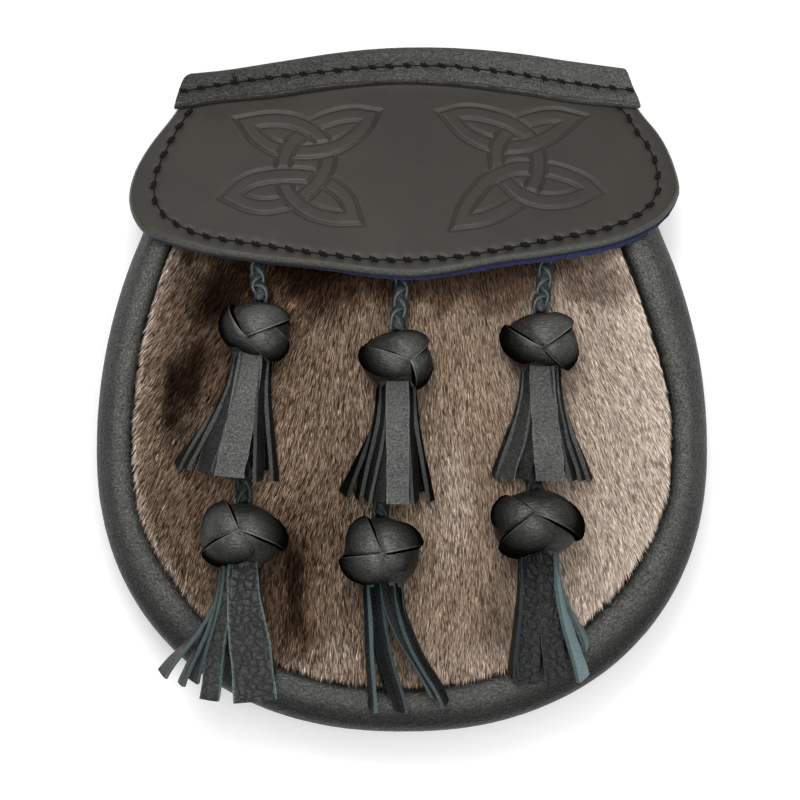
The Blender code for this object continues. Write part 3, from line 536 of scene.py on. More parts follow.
class Shape:
    """Closed parts gathered into one mesh. Each point has a mark from 0 to 1 and a tint, which carries
    painted light and shade as well as colour.
    """

    def __init__(self):
        self.points = []
        self.faces = []
        self.marks = []
        self.tints = []
        self.coarse = []
        self.count = 0

    def add(self, points, faces, mark=0.0, tint=(1, 1, 1), coarse=0.0, closed=True):
        points = np.asarray(points, float).reshape(-1, 3)
        if closed and signed_volume(points, faces) < 0:
            faces = [part[:, ::-1] for part in faces]
        self.points.append(points)
        self.faces += [part + self.count for part in faces]
        self.marks.append(np.broadcast_to(mark, len(points)))
        self.tints.append(np.broadcast_to(tint, (len(points), 3)))
        self.coarse.append(np.full(len(points), coarse))
        self.count += len(points)

    def tube(self, rings, mark=0.0, tint=(1, 1, 1), coarse=0.0):
        """A closed body through rings of equally many points."""
        rings = np.asarray(rings, float)
        rows, columns = rings.shape[:2]
        points = np.vstack([rings.reshape(-1, 3), rings[0].mean(0), rings[-1].mean(0)])
        ring = np.arange(columns)
        after = np.roll(ring, -1)
        last = (rows - 1) * columns
        first_cap = np.stack([np.full(columns, rows * columns), ring, after], -1)
        last_cap = np.stack([np.full(columns, rows * columns + 1), last + after, last + ring], -1)
        if np.ndim(mark):
            mark = np.concatenate([np.broadcast_to(mark, (rows, columns)).ravel(), [1, 1]])
        if np.ndim(tint) == 3:
            tint = np.vstack([np.reshape(tint, (-1, 3)), tint[0, 0], tint[-1, 0]])
        self.add(points, [grid(rows, columns, True), np.vstack([first_cap, last_cap])], mark, tint, coarse)

    def make(self, name, look, nodes=(), sharp=50):
        """The piece. Edges over the sharp angle, in degrees, aren't smoothed, and 0 smooths them all."""
        points = np.vstack(self.points)
        sizes = np.concatenate([np.full(len(part), part.shape[1]) for part in self.faces])
        corners = np.concatenate([part.ravel() for part in self.faces])
        mesh = bpy.data.meshes.new(name)
        mesh.vertices.add(len(points))
        mesh.vertices.foreach_set("co", points.ravel())
        mesh.loops.add(len(corners))
        mesh.loops.foreach_set("vertex_index", corners)
        mesh.polygons.add(len(sizes))
        mesh.polygons.foreach_set("loop_start", np.concatenate([[0], np.cumsum(sizes)[:-1]]))
        mesh.update(calc_edges=True)
        colours = np.ones((len(points), 4))
        colours[:, :3] = np.vstack(self.tints)
        mesh.attributes.new("mark", "FLOAT", "POINT").data.foreach_set("value", np.concatenate(self.marks))
        mesh.attributes.new("tint", "FLOAT_COLOR", "POINT").data.foreach_set("color", colours.ravel())
        coarse = np.concatenate(self.coarse)
        if coarse.any():
            mesh.attributes.new("coarse", "FLOAT", "POINT").data.foreach_set("value", coarse)
        mesh.materials.append(look)
        mesh.shade_smooth()
        if sharp:
            mesh.set_sharp_from_angle(angle=math.radians(sharp))
        piece = bpy.data.objects.new(name, mesh)
        bpy.context.scene.collection.objects.link(piece)
        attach(piece, "root")
        if nodes:
            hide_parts(*nodes)
        return piece


def frames(line, up):
    """Tangent, side and upward directions along a line of points. The last two are square to it."""
    tangent = unit(np.gradient(line, axis=0))
    side = unit(np.cross(tangent, up))
    return tangent, side, np.cross(side, tangent)


def round_section(count, width, height, power=2.0):
    """Ring of a flattened section, as offsets to the side and upwards."""
    angle = np.linspace(0, math.tau, count, endpoint=False)
    sine, cosine = np.sin(angle), np.cos(angle)
    x = np.sign(cosine) * np.abs(cosine) ** (2 / power) * width / 2
    y = np.sign(sine) * np.abs(sine) ** (2 / power) * height / 2
    return np.column_stack([x, y])


def inside(points, loop):
    """Which points lie inside a closed loop."""
    found = np.zeros(len(points), bool)
    for start, end in zip(loop, np.roll(loop, -1, axis=0)):
        crosses = (start[1] > points[:, 1]) != (end[1] > points[:, 1])
        rise = end[1] - start[1]
        if rise:
            x = start[0] + (points[:, 1] - start[1]) * (end[0] - start[0]) / rise
            found ^= crosses & (points[:, 0] < x)
    return found


def nearest(points, line, chunk=4000):
    """Distance of each point to a line, and the side that it lies on."""
    start, run = line[:-1], np.diff(line, axis=0)
    size = (run**2).sum(1)
    distance = np.empty(len(points))
    sign = np.empty(len(points))
    for low in range(0, len(points), chunk):
        part = points[low : low + chunk, None] - start
        share = np.clip((part * run).sum(-1) / size, 0, 1)
        away = part - share[..., None] * run
        found = np.hypot(away[..., 0], away[..., 1])
        best = found.argmin(1)
        rows = np.arange(len(best))
        distance[low : low + chunk] = found[rows, best]
        gap = away[rows, best]
        sign[low : low + chunk] = np.sign(run[best, 0] * gap[:, 1] - run[best, 1] * gap[:, 0])
    return distance, sign


def scattered(low, high, step):
    """Points of a triangular pattern that covers a box in plan."""
    x = np.arange(low[0], high[0], step)
    y = np.arange(low[1], high[1], step * 0.866)
    across, up = np.meshgrid(x, y)
    across = across + (np.arange(len(y))[:, None] % 2) * step / 2
    return np.column_stack([across.ravel(), up.ravel()])


def filled(loop, inner):
    """Triangles over a loop of plan points and the points inside it."""
    corners = [Vector(point) for point in np.vstack([loop, inner]) * 1000]
    found = geometry.delaunay_2d_cdt(corners, [], [list(range(len(loop)))], 1, 1e-4)
    return np.array([tuple(point) for point in found[0]]) / 1000, np.array(found[2])


def swept(line, section, side, up):
    """Rings of a section along a line."""
    return line[:, None] + section[None, :, :1] * side[:, None] + section[None, :, 1:] * up[:, None]


def add_plate(shape, outline, profile, place, top_inner, bottom_step, relief=None):
    """A plate of leather. The profile's rows of inset, rise and mark go from the face round to the back."""
    if signed_volume(np.pad(outline, ((0, 0), (0, 1)), constant_values=1.0), [fan(len(outline))]) < 0:
        outline = outline[::-1]
    inward = left_of_loop(outline)
    loops = [outline + inward * row[0] for row in profile]
    count = len(outline)
    bottom_inner = scattered(outline.min(0), outline.max(0), bottom_step)
    points, faces, marks = [], [], []
    start = 0
    for loop, inner, row, turned in (
        (loops[0], top_inner, profile[0], False),
        (loops[-1], bottom_inner, profile[-1], True),
    ):
        gap = nearest(inner, np.vstack([loop, loop[:1]]))[0]
        spacing = bottom_step if turned else 0.0004
        inner = inner[inside(inner, loop) & (gap > 0.6 * spacing)]
        plan, triangles = filled(loop, inner)
        rise = np.full(len(plan), row[1])
        if relief and not turned:
            rise = rise + relief(plan)
        points.append(place(plan[:, 0], plan[:, 1], rise))
        marks.append(np.concatenate([np.full(count, row[2]), np.full(len(plan) - count, 1.0 * turned)]))
        faces.append((triangles[:, ::-1] if turned else triangles) + start)
        start += len(plan)
    face_loop = np.arange(count)
    back_loop = np.arange(count) + len(points[0])
    rows = [face_loop]
    for loop, row in zip(loops[1:-1], profile[1:-1]):
        points.append(place(loop[:, 0], loop[:, 1], np.full(count, row[1])))
        marks.append(np.full(count, row[2]))
        rows.append(np.arange(count) + start)
        start += count
    rows.append(back_loop)
    for upper, lower in zip(rows, rows[1:]):
        faces.append(np.stack([upper, lower, np.roll(lower, -1), np.roll(upper, -1)], -1))
    shape.add(np.vstack(points), faces, np.concatenate(marks))


def fan(count):
    """Triangles of a polygon, from its first corner."""
    rest = np.arange(1, count - 1)
    return np.stack([np.zeros_like(rest), rest, rest + 1], -1)


# Looks


class Look:
    """A material and the means to add nodes to it."""

    def __init__(self, name, roughness, specular=0.5, sheen=0.0):
        self.made = bpy.data.materials.new(name)
        self.made.use_nodes = True
        self.tree = self.made.node_tree
        self.shader = self.tree.nodes["Principled BSDF"]
        self.shader.inputs["Roughness"].default_value = roughness
        self.shader.inputs["Specular IOR Level"].default_value = specular
        self.shader.inputs["Sheen Weight"].default_value = sheen
        self.place = self.node("TexCoord").outputs["Object"]

    def node(self, kind, settings=None, **inputs):
        """A node. Its inputs are given by name, or by number as i0, i1 and so on."""
        made = self.tree.nodes.new("ShaderNode" + kind)
        for key, value in (settings or {}).items():
            setattr(made, key, value)
        for key, value in inputs.items():
            socket = made.inputs[int(key[1:])] if key[1:].isdigit() else made.inputs[key]
            if isinstance(value, bpy.types.NodeSocket):
                self.tree.links.new(value, socket)
            else:
                socket.default_value = value
        return made

    def noise(self, size, detail=3.0, roughness=0.55, stretch=None):
        place = self.place
        if stretch:
            place = self.node("Mapping", Vector=place, Scale=stretch).outputs[0]
        made = self.node("TexNoise", Vector=place, Scale=1 / size, Detail=detail, Roughness=roughness)
        return made.outputs["Fac"]

    def pebbles(self, size):
        """How far a place is from the edge of its pebble, as a share of about the size."""
        warp = self.node("TexNoise", Vector=self.place, Scale=0.7 / size, Detail=2.0).outputs["Color"]
        place = self.node("VectorMath", {"operation": "MULTIPLY_ADD"}, i0=warp, i1=(size,) * 3, i2=self.place)
        feature = {"feature": "DISTANCE_TO_EDGE"}
        return self.node("TexVoronoi", feature, Vector=place.outputs[0], Scale=1 / size).outputs["Distance"]

    def ranged(self, value, low, high, to_low=0.0, to_high=1.0):
        return self.node("MapRange", i0=value, i1=low, i2=high, i3=to_low, i4=to_high).outputs[0]

    def maths(self, operation, first, second):
        return self.node("Math", {"operation": operation}, i0=first, i1=second).outputs[0]

    def mix(self, share, first, second, blend="MIX"):
        made = self.node("Mix", {"data_type": "RGBA", "blend_type": blend}, i0=share, i6=first, i7=second)
        return made.outputs[2]

    def attribute(self, name, output="Fac"):
        return self.node("Attribute", {"attribute_name": name}).outputs[output]

    def feed(self, socket, value):
        self.tree.links.new(value, self.shader.inputs[socket])

    def bump(self, height, depth, strength=1.0):
        """Bumps this deep, over those that are there."""
        made = self.node("Bump", Strength=strength, Distance=depth, Height=height)
        before = self.shader.inputs["Normal"].links
        if before:
            self.tree.links.new(before[0].from_socket, made.inputs["Normal"])
        self.feed("Normal", made.outputs[0])


def rgb(red, green, blue):
    """A linear colour from the 0 to 255 values of a screen."""
    values = np.array([red, green, blue]) / 255
    linear = np.where(values <= 0.04045, values / 12.92, ((values + 0.055) / 1.055) ** 2.4)
    return (*(float(value) for value in linear), 1.0)


SMOOTH_BUMP = 0.00006
GRAIN_DARK = rgb(20, 20, 19)
GRAIN_SPECK = rgb(120, 121, 116)
FOLD_DARK = rgb(9, 9, 9)


def smooth_leather(name, dark, light, edge, roughness):
    """Leather without a grain. Where the mark is 1 it shows its cut edge."""
    look = Look(name, roughness, 0.45)
    broad = look.ranged(look.noise(0.030, 4.0), 0.3, 0.7)
    base = look.mix(broad, dark, light)
    base = look.mix(look.ranged(look.noise(0.0012, 5.0), 0.35, 0.75, 0.0, 0.35), base, light)
    fibres = look.ranged(look.noise(0.0006, 4.0), 0.3, 0.7)
    cut = look.mix(fibres, edge, dark)
    look.feed("Base Color", look.mix(look.attribute("mark"), base, cut))
    worn = look.ranged(look.noise(0.008, 5.0), 0.3, 0.7, roughness - 0.06, roughness + 0.08)
    look.feed("Roughness", worn)
    look.bump(look.noise(0.0009, 4.0), SMOOTH_BUMP)
    look.bump(look.noise(0.006, 3.0), SMOOTH_BUMP * 3, 0.5)
    return look.made


def grained_leather(
    name, dark, light, edge, roughness, size, depth, specks=0.28, folds=0.0, creases=0.0, wrinkles=0.0,
    shine=0.7, contrast=0.33
):
    """Leather with a grain of this size and depth. Where the mark is 1 it shows its cut edge or flesh side.

    The folds are the size of the large pebbles that show where the mesh says coarse. The creases are the
    depth of fine folds, and the wrinkles how much light and dark lines differ from the rest.
    """
    look = Look(name, roughness, shine)
    grain = look.ranged(look.noise(size, 3.0, 0.6, (1.0, 1.5, 1.0)), 0.34, 0.66)
    tint = look.attribute("tint", "Color")
    # The shine and roughness follow the tint, so that the painted shade it carries has no shine and its
    # painted light has more
    gloss = look.ranged(tint, 0.25, 1.2, 0.0, shine)
    look.feed("Specular IOR Level", look.maths("MULTIPLY", gloss, look.ranged(grain, 0.0, 1.0, 0.55, 1.0)))
    base = look.mix(look.ranged(look.noise(0.014, 4.0), 0.3, 0.7), dark, light)
    base = look.mix(look.ranged(grain, 0.0, 1.0, 0.55, 0.0), base, GRAIN_DARK)
    base = look.mix(look.ranged(look.noise(0.0005, 2.0), 0.52, 0.76, 0.0, specks), base, GRAIN_SPECK)
    if folds:
        level = look.ranged(look.pebbles(folds), 0.0, 0.24)
        level = look.maths("MAXIMUM", level, look.maths("SUBTRACT", 1.0, look.attribute("coarse")))
        base = look.mix(look.ranged(level, 0.0, 1.0, 0.80, 0.0), base, FOLD_DARK)
        look.bump(level, 0.0005)
    flecks = look.noise(size * 0.7, 3.0, 0.6, (1.3, 0.8, 1.0))
    base = look.mix(1.0, base, look.ranged(flecks, 0.38, 0.62, 1 - contrast, 1 + contrast), "MULTIPLY")
    if wrinkles:
        lines = look.noise(0.0012, 3.0, 0.65, (0.55, 2.0, 1.6))
        base = look.mix(1.0, base, look.ranged(lines, 0.38, 0.62, 1 - wrinkles, 1 + wrinkles), "MULTIPLY")
        look.bump(lines, 0.00020)
    fibres = look.ranged(look.noise(0.0005, 4.0), 0.3, 0.7, 0.0, 0.6)
    base = look.mix(look.attribute("mark"), base, look.mix(fibres, edge, dark))
    look.feed("Base Color", look.mix(1.0, base, tint, "MULTIPLY"))
    worn = look.ranged(grain, 0.0, 1.0, roughness + 0.15, roughness - 0.04)
    look.feed("Roughness", look.maths("MAXIMUM", worn, look.ranged(tint, 0.2, 0.7, 0.85, 0.0)))
    look.bump(look.maths("ADD", grain, look.maths("MULTIPLY", look.noise(0.0005, 4.0), 0.3)), depth)
    look.bump(look.noise(0.0035, 4.0), depth * 2.2, 0.7)
    if creases:
        look.bump(look.noise(0.0018, 3.0, 0.6, (0.6, 2.0, 1.2)), creases)
    return look.made


def hair(name):
    look = Look(name, 0.8, 0.05)
    tint = look.attribute("tint", "Color")
    streaks = look.ranged(look.noise(0.0022, stretch=(1.0, 0.25, 1.0)), 0.3, 0.7, 0.90, 1.10)
    look.feed("Base Color", look.mix(1.0, tint, streaks, "MULTIPLY"))
    look.bump(look.noise(0.0006, 2.0, stretch=(1.0, 0.1, 1.0)), 0.0001)
    return look.made


def cloth(name, dark, light):
    look = Look(name, 0.85, 0.2, 0.15)
    fibres = look.noise(0.0007, 4.0)
    broad = look.ranged(look.noise(0.02), 0.35, 0.65)
    base = look.mix(look.ranged(fibres, 0.3, 0.7), dark, light)
    look.feed("Base Color", look.mix(look.maths("MULTIPLY", broad, 0.4), base, dark))
    look.bump(fibres, 0.0002)
    return look.made


def thread(name):
    look = Look(name, 0.75, 0.2)
    twist = look.noise(0.0004, 2.0)
    look.feed("Base Color", look.mix(look.ranged(twist, 0.3, 0.7), rgb(4, 4, 4), rgb(17, 17, 17)))
    look.bump(twist, 0.0001)
    return look.made


def floor_look():
    look = Look("pale_floor", 0.8, 0.2)
    cloud = look.ranged(look.noise(0.4, 2.0), 0.3, 0.7)
    look.feed("Base Color", look.mix(cloud, (0.93, 0.93, 0.93, 1), (0.96, 0.96, 0.96, 1)))
    # The floor glows a little as well, so that the shadow on it stays faint
    look.shader.inputs["Emission Color"].default_value = (1, 1, 1, 1)
    look.shader.inputs["Emission Strength"].default_value = 0.22
    return look.made


# The leather of the body

GUSSET_STATIONS = 560
SECTION_STEPS = 5  # from one row of the gusset's section to the next
SECTION_PITCH = 0.0016  # the length of leather that the creases count for each of them
INNER_ROWS = (0, 1, 2, 4, 6, 8, 10, 11, 12, 13, 14)  # those that the inside of the gusset has too
FACE_ROW = 7.2  # where the face of the rim starts
INNER_BEAD = 0.0007
CREASE_DEPTH = 0.00011
WAVE_DEPTH = 0.00028
BEND_DEPTH = 0.00016
# The rim's painted light: a painted highlight along the crest of its face and painted shade at its edges
RIM_PAINTED_LIGHT = ([0.08, 0.22, 0.45, 0.72, 0.90, 1.0], [0.48, 0.62, 1.5, 2.9, 1.7, 0.5])  # share of width, shade
FLAP_STITCH = 0.0050
BINDING_STITCH = 0.0053
FACE_STEP = 0.0016  # sides of the triangles of the flap: its face, along the seam, at the knots and behind
SEAM_STEP = 0.0007
KNOT_STEP = 0.00031
BACK_STEP = 0.005
KNOT_MARGIN = 0.0045
KNOT_REACH = 0.036
SEAM_REACH = 0.004
STITCH_PULL = 0.00035  # how deep the leather is pulled in at a stitch, and how far round it
STITCH_SPREAD = 0.0013
SEAM_PULL = 0.00012
SEAM_SPREAD = 0.0011
# x, how far the lining stands out past the edge of the flap
LINING_SHOWS = ([-0.03, 0.0, 0.03, 0.06, 0.08], [-0.0004, 0.0001, 0.0005, 0.0010, 0.0002])
BINDING_FACE = (
    # share of the way from the seam to the lower edge, or below 0 to the fold, and how far the leather swells
    (0.995, -0.10), (0.975, 0.22), (0.94, 0.30), (0.89, 0.22), (0.85, 0.04), (0.81, -0.04), (0.77, 0.04),
    (0.70, 0.16), (0.60, 0.22), (0.50, 0.24), (0.38, 0.20), (0.24, 0.08), (0.12, -0.12), (0.04, -0.30),
    (0.00, -0.38), (-0.04, -0.30), (-0.12, -0.10), (-0.26, 0.12), (-0.45, 0.22), (-0.62, 0.16), (-0.76, 0.0),
)
BINDING_PUFF = 0.00085
BINDING_LEFT = np.array((0.92, 0.86, 0.76))
BINDING_RIGHT_PAINTED_HIGHLIGHT = np.array((2.3, 2.26, 2.2))
LOBE_LENGTH = 0.0021
LOBE_WIDTH = 0.00118
LOBE_HEIGHT = 0.0011
LOBE_APART = 0.00058
THREAD_WIDTH = 0.00044
THREAD_HEIGHT = 0.00040


def make_gusset(look):
    places = body_line(GUSSET_TOP_Y, 0.0, GUSSET_STATIONS)
    origin, normal = places[:, 2:4], unit(places[:, 4:6])
    section = smooth_curve(GUSSET_SECTION, SECTION_STEPS)
    section[:, 2] = np.clip(section[:, 2], 0, 1)
    row = np.arange(len(section)) / SECTION_STEPS
    # The rim is wider or narrower than in the section, and the wall beside it is the same everywhere
    grows = np.clip((row - 8) / 2, 0, 1)
    inset = section[:, 0] * (1 + (rim_width(origin)[:, None] / RIM_WIDTH_OF_SECTION - 1) * grows)
    local_y = origin[:, None, 1] + normal[:, None, 1] * inset
    z = section[:, 1] + section[:, 2] * (rim_height(local_y) - RIM_HEIGHT)
    tangent = unit(np.stack([np.gradient(inset, axis=1), np.gradient(z, axis=1)], -1))
    square = np.stack([tangent[..., 1], -tangent[..., 0]], -1)
    inner = np.array(INNER_ROWS[::-1]) * SECTION_STEPS
    inner_inset = (inset + square[..., 0] * GUSSET_THICK)[:, inner]
    inner_z = (z + square[..., 1] * GUSSET_THICK)[:, inner]
    # Creases run across the rim, mostly over its face and its inner bend
    spots = np.stack(np.broadcast_arrays(along(origin)[:, None], row * SECTION_PITCH), -1)
    face = np.clip((row - 7.5) / 2.5, 0, 1) * np.clip(13.6 - row, 0, 1)
    creases = noise(spots, (0.0016, 0.0075), 3) + 0.6 * noise(spots, (0.0034, 0.010), 4)
    waves = noise(spots, (0.022, 0.020), 5)
    push = (CREASE_DEPTH * creases + WAVE_DEPTH * waves) * face
    inner_bend = np.clip(row - 11.2, 0, 1) * np.clip((13.4 - row) / 0.8, 0, 1)
    push = push + BEND_DEPTH * noise(spots, (0.0021, 0.02), 6) * inner_bend
    push = push + INNER_BEAD * np.exp(-(((row - 12.25) / 0.75) ** 2))
    inset = inset - square[..., 0] * push
    z = z - square[..., 1] * push
    ring_inset = np.hstack([inset, inner_inset])
    ring_z = np.hstack([z, inner_z])
    plan = origin[:, None] + normal[:, None] * ring_inset[..., None]
    rings = np.concatenate([plan, ring_z[..., None]], -1)
    # Painted light and shade: a painted highlight along the crest of the rim's face, painted shade at its
    # outer and inner edges and up the outer side, and less of the highlight towards the lower end
    painted_shading = np.ones(rings.shape[:2])
    lit = np.interp(section[:, 0] / RIM_WIDTH_OF_SECTION, *RIM_PAINTED_LIGHT)
    low = np.interp(origin[:, 1], [-0.100, -0.050, 0.0], [0.62, 0.85, 1.0])[:, None]
    side = np.interp(row, [3.5, FACE_ROW], [0.95, 0.48])
    painted_shading[:, : len(section)] = np.where(row < FACE_ROW, side, np.maximum(0.45, lit * low))
    shape = Shape()
    shape.tube(rings, 0.0, np.repeat(painted_shading[..., None], 3, 2))
    shape.make("gusset_leather", look, ["gusset"])


def flap_outline():
    free = smooth_curve(FLAP_EDGE, 8)
    fold = top_line()
    fold = fold[(fold[:, 0] > -0.0640) & (fold[:, 0] < 0.0670)]
    return outlined(np.vstack([free, fold[::-1]]), 0.0009)


def knot_relief(plan, knot):
    """How far the tooled knot pushes the face of the flap out or in."""
    lines = []
    distance = []
    for strand in knot["strands"]:
        line = smooth_curve(on_flap(strand, STACK_THICK), 7)
        distance.append(nearest(plan, line)[0])
        before = line[0] + unit(line[0] - line[1]) * TIP_RUN
        after = line[-1] + unit(line[-1] - line[-2]) * TIP_RUN
        lines.append(np.vstack([before, line, after]))
    distance = np.array(distance)
    signed = np.array([np.multiply(*nearest(plan, line)) for line in lines])
    # Where two strands meet in a tip, their outer sides alone are pressed in
    ends = [(n, line[1], line[7]) for n, line in enumerate(lines)]
    ends += [(n, line[-2], line[-8]) for n, line in enumerate(lines)]
    for n, (first, tip, first_on) in enumerate(ends):
        for second, other_tip, second_on in ends[n + 1 :]:
            if np.linalg.norm(tip - other_tip) > TIPS_MEET or first == second:
                continue
            near = np.linalg.norm(plan - tip, axis=1) < TIP_REACH
            first_side = nearest(second_on[None], lines[first])[1]
            second_side = nearest(first_on[None], lines[second])[1]
            outer = np.maximum(-first_side * signed[first], -second_side * signed[second])
            distance[first] = np.where(near, np.abs(outer), distance[first])
            distance[second] = np.where(near, 1.0, distance[second])
    # A strand that passes under another has no groove there
    half = BAND_WIDTH / 2
    covered = np.zeros(distance.shape, bool)
    away = np.linalg.norm(plan[:, None] - on_flap(knot["crossings"], STACK_THICK), axis=2)
    for over, under in itertools.permutations(range(len(lines)), 2):
        rows = [n for n, pair in enumerate(CROSSED) if set(pair) == {over, under}]
        if rows:
            closest = np.array(rows)[away[:, rows].argmin(1)]
            wins = np.array([pair[0] == over for pair in CROSSED])[closest]
            covered[under] |= wins & (distance[over] < half)
    groove = np.exp(-(((distance - half) / GROOVE_WIDTH) ** 2)) * ~covered
    crown = np.where(distance < half, 1 - (distance / half) ** 4, 0).max(0)
    return BAND_RAISE * crown - GROOVE_DEPTH * groove.max(0)


def seam_relief(plan, line, places):
    """How far a seam along a line pulls the leather in, most of all at its stitches."""
    gap = nearest(plan, line)[0]
    rise = np.zeros(len(plan))
    near = gap < SEAM_REACH
    to_stitch = plan[near][:, None] - places
    away = np.hypot(to_stitch[..., 0], to_stitch[..., 1]).min(1)
    pull = -STITCH_PULL * np.exp(-((away / STITCH_SPREAD) ** 2))
    rise[near] = pull - SEAM_PULL * np.exp(-((gap[near] / SEAM_SPREAD) ** 2))
    return rise


def seam_places(spots, rise, pitch):
    line = smooth_curve(on_flap(spots, rise), 8)
    return spaced(line, round(along(line)[-1] / pitch)), line


def make_flap(face, cloth_look):
    """The flap and its lining. It gives the places of the flap's stitches."""
    outline = flap_outline()
    stitches, line = seam_places(FLAP_SEAM, STACK_THICK, FLAP_STITCH)
    knots = [[spot for strand in knot["strands"] for spot in strand] for knot in KNOTS]

    def relief(plan):
        rise = 0.00018 * noise(plan, 0.024, 11) + 0.00005 * noise(plan, 0.006, 12)
        for knot, spots in zip(KNOTS, knots):
            middle = on_flap([np.mean(spots, axis=0)], STACK_THICK)
            near = np.abs(plan - middle).max(1) < KNOT_REACH
            rise[near] += knot_relief(plan[near], knot)
        return rise + seam_relief(plan, line, stitches)

    # The face has small triangles at the knots and along the seam
    low, high = outline.min(0), outline.max(0)
    coarse = scattered(low, high, FACE_STEP)
    taken = nearest(coarse, line)[0] < 0.0030
    inner = []
    for spots in knots:
        places = on_flap(spots, STACK_THICK)
        corner, opposite = places.min(0) - KNOT_MARGIN, places.max(0) + KNOT_MARGIN
        taken |= ((coarse > corner) & (coarse < opposite)).all(1)
        inner.append(scattered(corner, opposite, KNOT_STEP))
    medium = scattered(low, high, SEAM_STEP)
    inner.append(medium[nearest(medium, line)[0] < 0.0028])
    inner = np.vstack([coarse[~taken], *inner])
    profile = (
        # inset, rise, mark
        (0.00130, STACK_THICK, 0.0),
        (0.00095, STACK_THICK - 0.00008, 0.15),
        (0.00078, STACK_THICK - 0.00022, 1.0),
        (0.00030, STACK_THICK - 0.00075, 1.0),
        (0.00000, STACK_THICK - 0.00130, 1.0),
        (0.00004, LINING_THICK + LINING_GAP + 0.0006, 1.0),
        (0.00020, LINING_THICK + LINING_GAP, 1.0),
        (0.00200, LINING_THICK + LINING_GAP, 1.0),
    )
    shape = Shape()
    add_plate(shape, outline, profile, over_flap, inner, BACK_STEP, relief)
    shape.make("flap_leather", face, ["flap"], 60)

    # The lining stands out past the lower edge, unevenly
    wobble = noise(outline, 0.0017, 14)[:, None]
    outward = left_of_loop(outline)
    if inside(outline[:1] + outward[:1] * 0.001, outline)[0]:
        outward = -outward
    free = (outline[:, 1] < 0.085)[:, None]
    shows = np.interp(outline[:, :1], *LINING_SHOWS)
    lining = outline + outward * np.where(free, shows + (0.00010 + 0.35 * np.maximum(0, shows)) * wobble, 0.0)
    profile = (
        (0.00040, LINING_THICK + 0.0002, 0.0),
        (0.00000, LINING_THICK - 0.0002, 0.5),
        (0.00006, 0.0004, 1.0),
        (0.00040, 0.0000, 1.0),
    )
    shape = Shape()
    add_plate(shape, lining, profile, over_flap, scattered(low, high, BACK_STEP), BACK_STEP)
    shape.make("flap_lining_cloth", cloth_look, ["flap_lining"], 60)
    return stitches


def make_binding(look):
    line = smooth_curve(BINDING_LINE, 40)
    fold, low = line[:, :2], line[:, 2:]
    width = np.linalg.norm(low - fold, axis=1)
    down = unit(low - fold)
    seam = smooth_curve(on_flap(BINDING_SEAM, STACK_THICK + BINDING_THICK), 8)
    over = STACK_THICK + 2 * GAP
    fold_z = (STACK_Z + STACK_THICK + BACK_Z) / 2
    back_z = BACK_Z - GAP
    thick = BINDING_THICK
    rows = []
    length = along(fold)
    # The upper corners are rounded off
    drop = np.zeros(len(line))
    for from_end, radius in ((length, 0.0026), (length[-1] - length, 0.0010)):
        short = np.clip(radius - from_end, 0, radius)
        drop += radius - np.sqrt(radius**2 - short**2)

    def across_fold(distance):
        return fold + down * (drop + distance * (1 - drop / width))[:, None]

    def front(distance, rise):
        place = across_fold(distance)
        rows.append(over_flap(place[:, 0], place[:, 1], over + rise))

    def behind(distance, z):
        rows.append(np.column_stack([across_fold(distance), np.full(len(line), z)]))

    # The face, from the lower edge up to the fold
    to_seam = np.interp((fold[:, 0] + low[:, 0]) / 2, seam[:, 0], seam[:, 1])
    seam_at = np.clip((fold[:, 1] - to_seam) / np.abs(down[:, 1]), 0.003, width - 0.003)
    front(width, 0.0)
    front(width + 0.0001, thick * 0.5)
    for share, lift in BINDING_FACE:
        distance = seam_at + (width - seam_at if share >= 0 else seam_at) * share
        spots = across_fold(distance)
        grain = 0.00012 * noise(spots, 0.0024, 21) + 0.00005 * noise(spots, 0.0009, 22)
        ridge = 0.00030 * noise(spots, (0.006, 0.004), 23) * (0.35 < share < 0.95)
        front(distance, thick + lift * BINDING_PUFF + grain + ridge)
    front(seam_at * 0.13, thick * 0.62)
    front(seam_at * 0.05, thick * 0.25)
    # Round the fold, down behind the back panel, and up again inside
    for distance, z in (
        (0.0, fold_z + 0.0012),
        (-0.0001, fold_z - 0.0008),
        (0.0004, back_z - thick * 0.1),
        (0.0014, back_z - thick * 0.6),
        (0.0030, back_z - thick),
        (BINDING_BACK_WIDTH - 0.0030, back_z - thick * 1.02),
        (BINDING_BACK_WIDTH - 0.0006, back_z - thick * 0.95),
        (BINDING_BACK_WIDTH, back_z - thick * 0.6),
        (BINDING_BACK_WIDTH, back_z),
        (0.0018, back_z),
        (thick, fold_z),
    ):
        behind(distance, z)
    front(0.0018, 0.0)
    for share in (0.2, 0.3, 0.4, 0.5, 0.6, 0.7, 0.8, 0.9):
        front(width * share, 0.0)
    rings = np.stack(rows, 1)
    # The cut ends are pulled in a little at their corners
    for end in (0, -1):
        middle = rings[end].mean(0)
        rings[end] = rings[end] + (middle - rings[end]) * 0.03
    mark = np.zeros(rings.shape[:2])
    mark[:, :2] = 0.4
    # Painted highlight: the binding is painted lighter towards its right end
    lit = np.interp(fold[:, 0], [-0.07, 0.02, 0.07], [0.0, 0.22, 1.0])[:, None, None]
    tint = BINDING_LEFT + lit * (BINDING_RIGHT_PAINTED_HIGHLIGHT - BINDING_LEFT)
    shape = Shape()
    shape.tube(rings, mark, np.broadcast_to(tint, (*rings.shape[:2], 3)))
    shape.make("binding_leather", look, ["top_binding"], 60)


def lobe(shape, middle, ahead, side, up, size):
    """A rounded lobe of thread."""
    section = round_section(8, LOBE_WIDTH * size, LOBE_HEIGHT * size)
    rings = []
    for share, girth in ((-1.0, 0.25), (-0.75, 0.72), (-0.3, 1.0), (0.3, 1.0), (0.75, 0.72), (1.0, 0.25)):
        at = middle + ahead * (LOBE_LENGTH * size) / 2 * share
        rings.append(at + np.outer(section[:, 0], side) * girth + np.outer(section[:, 1], up) * girth)
    shape.tube(rings)


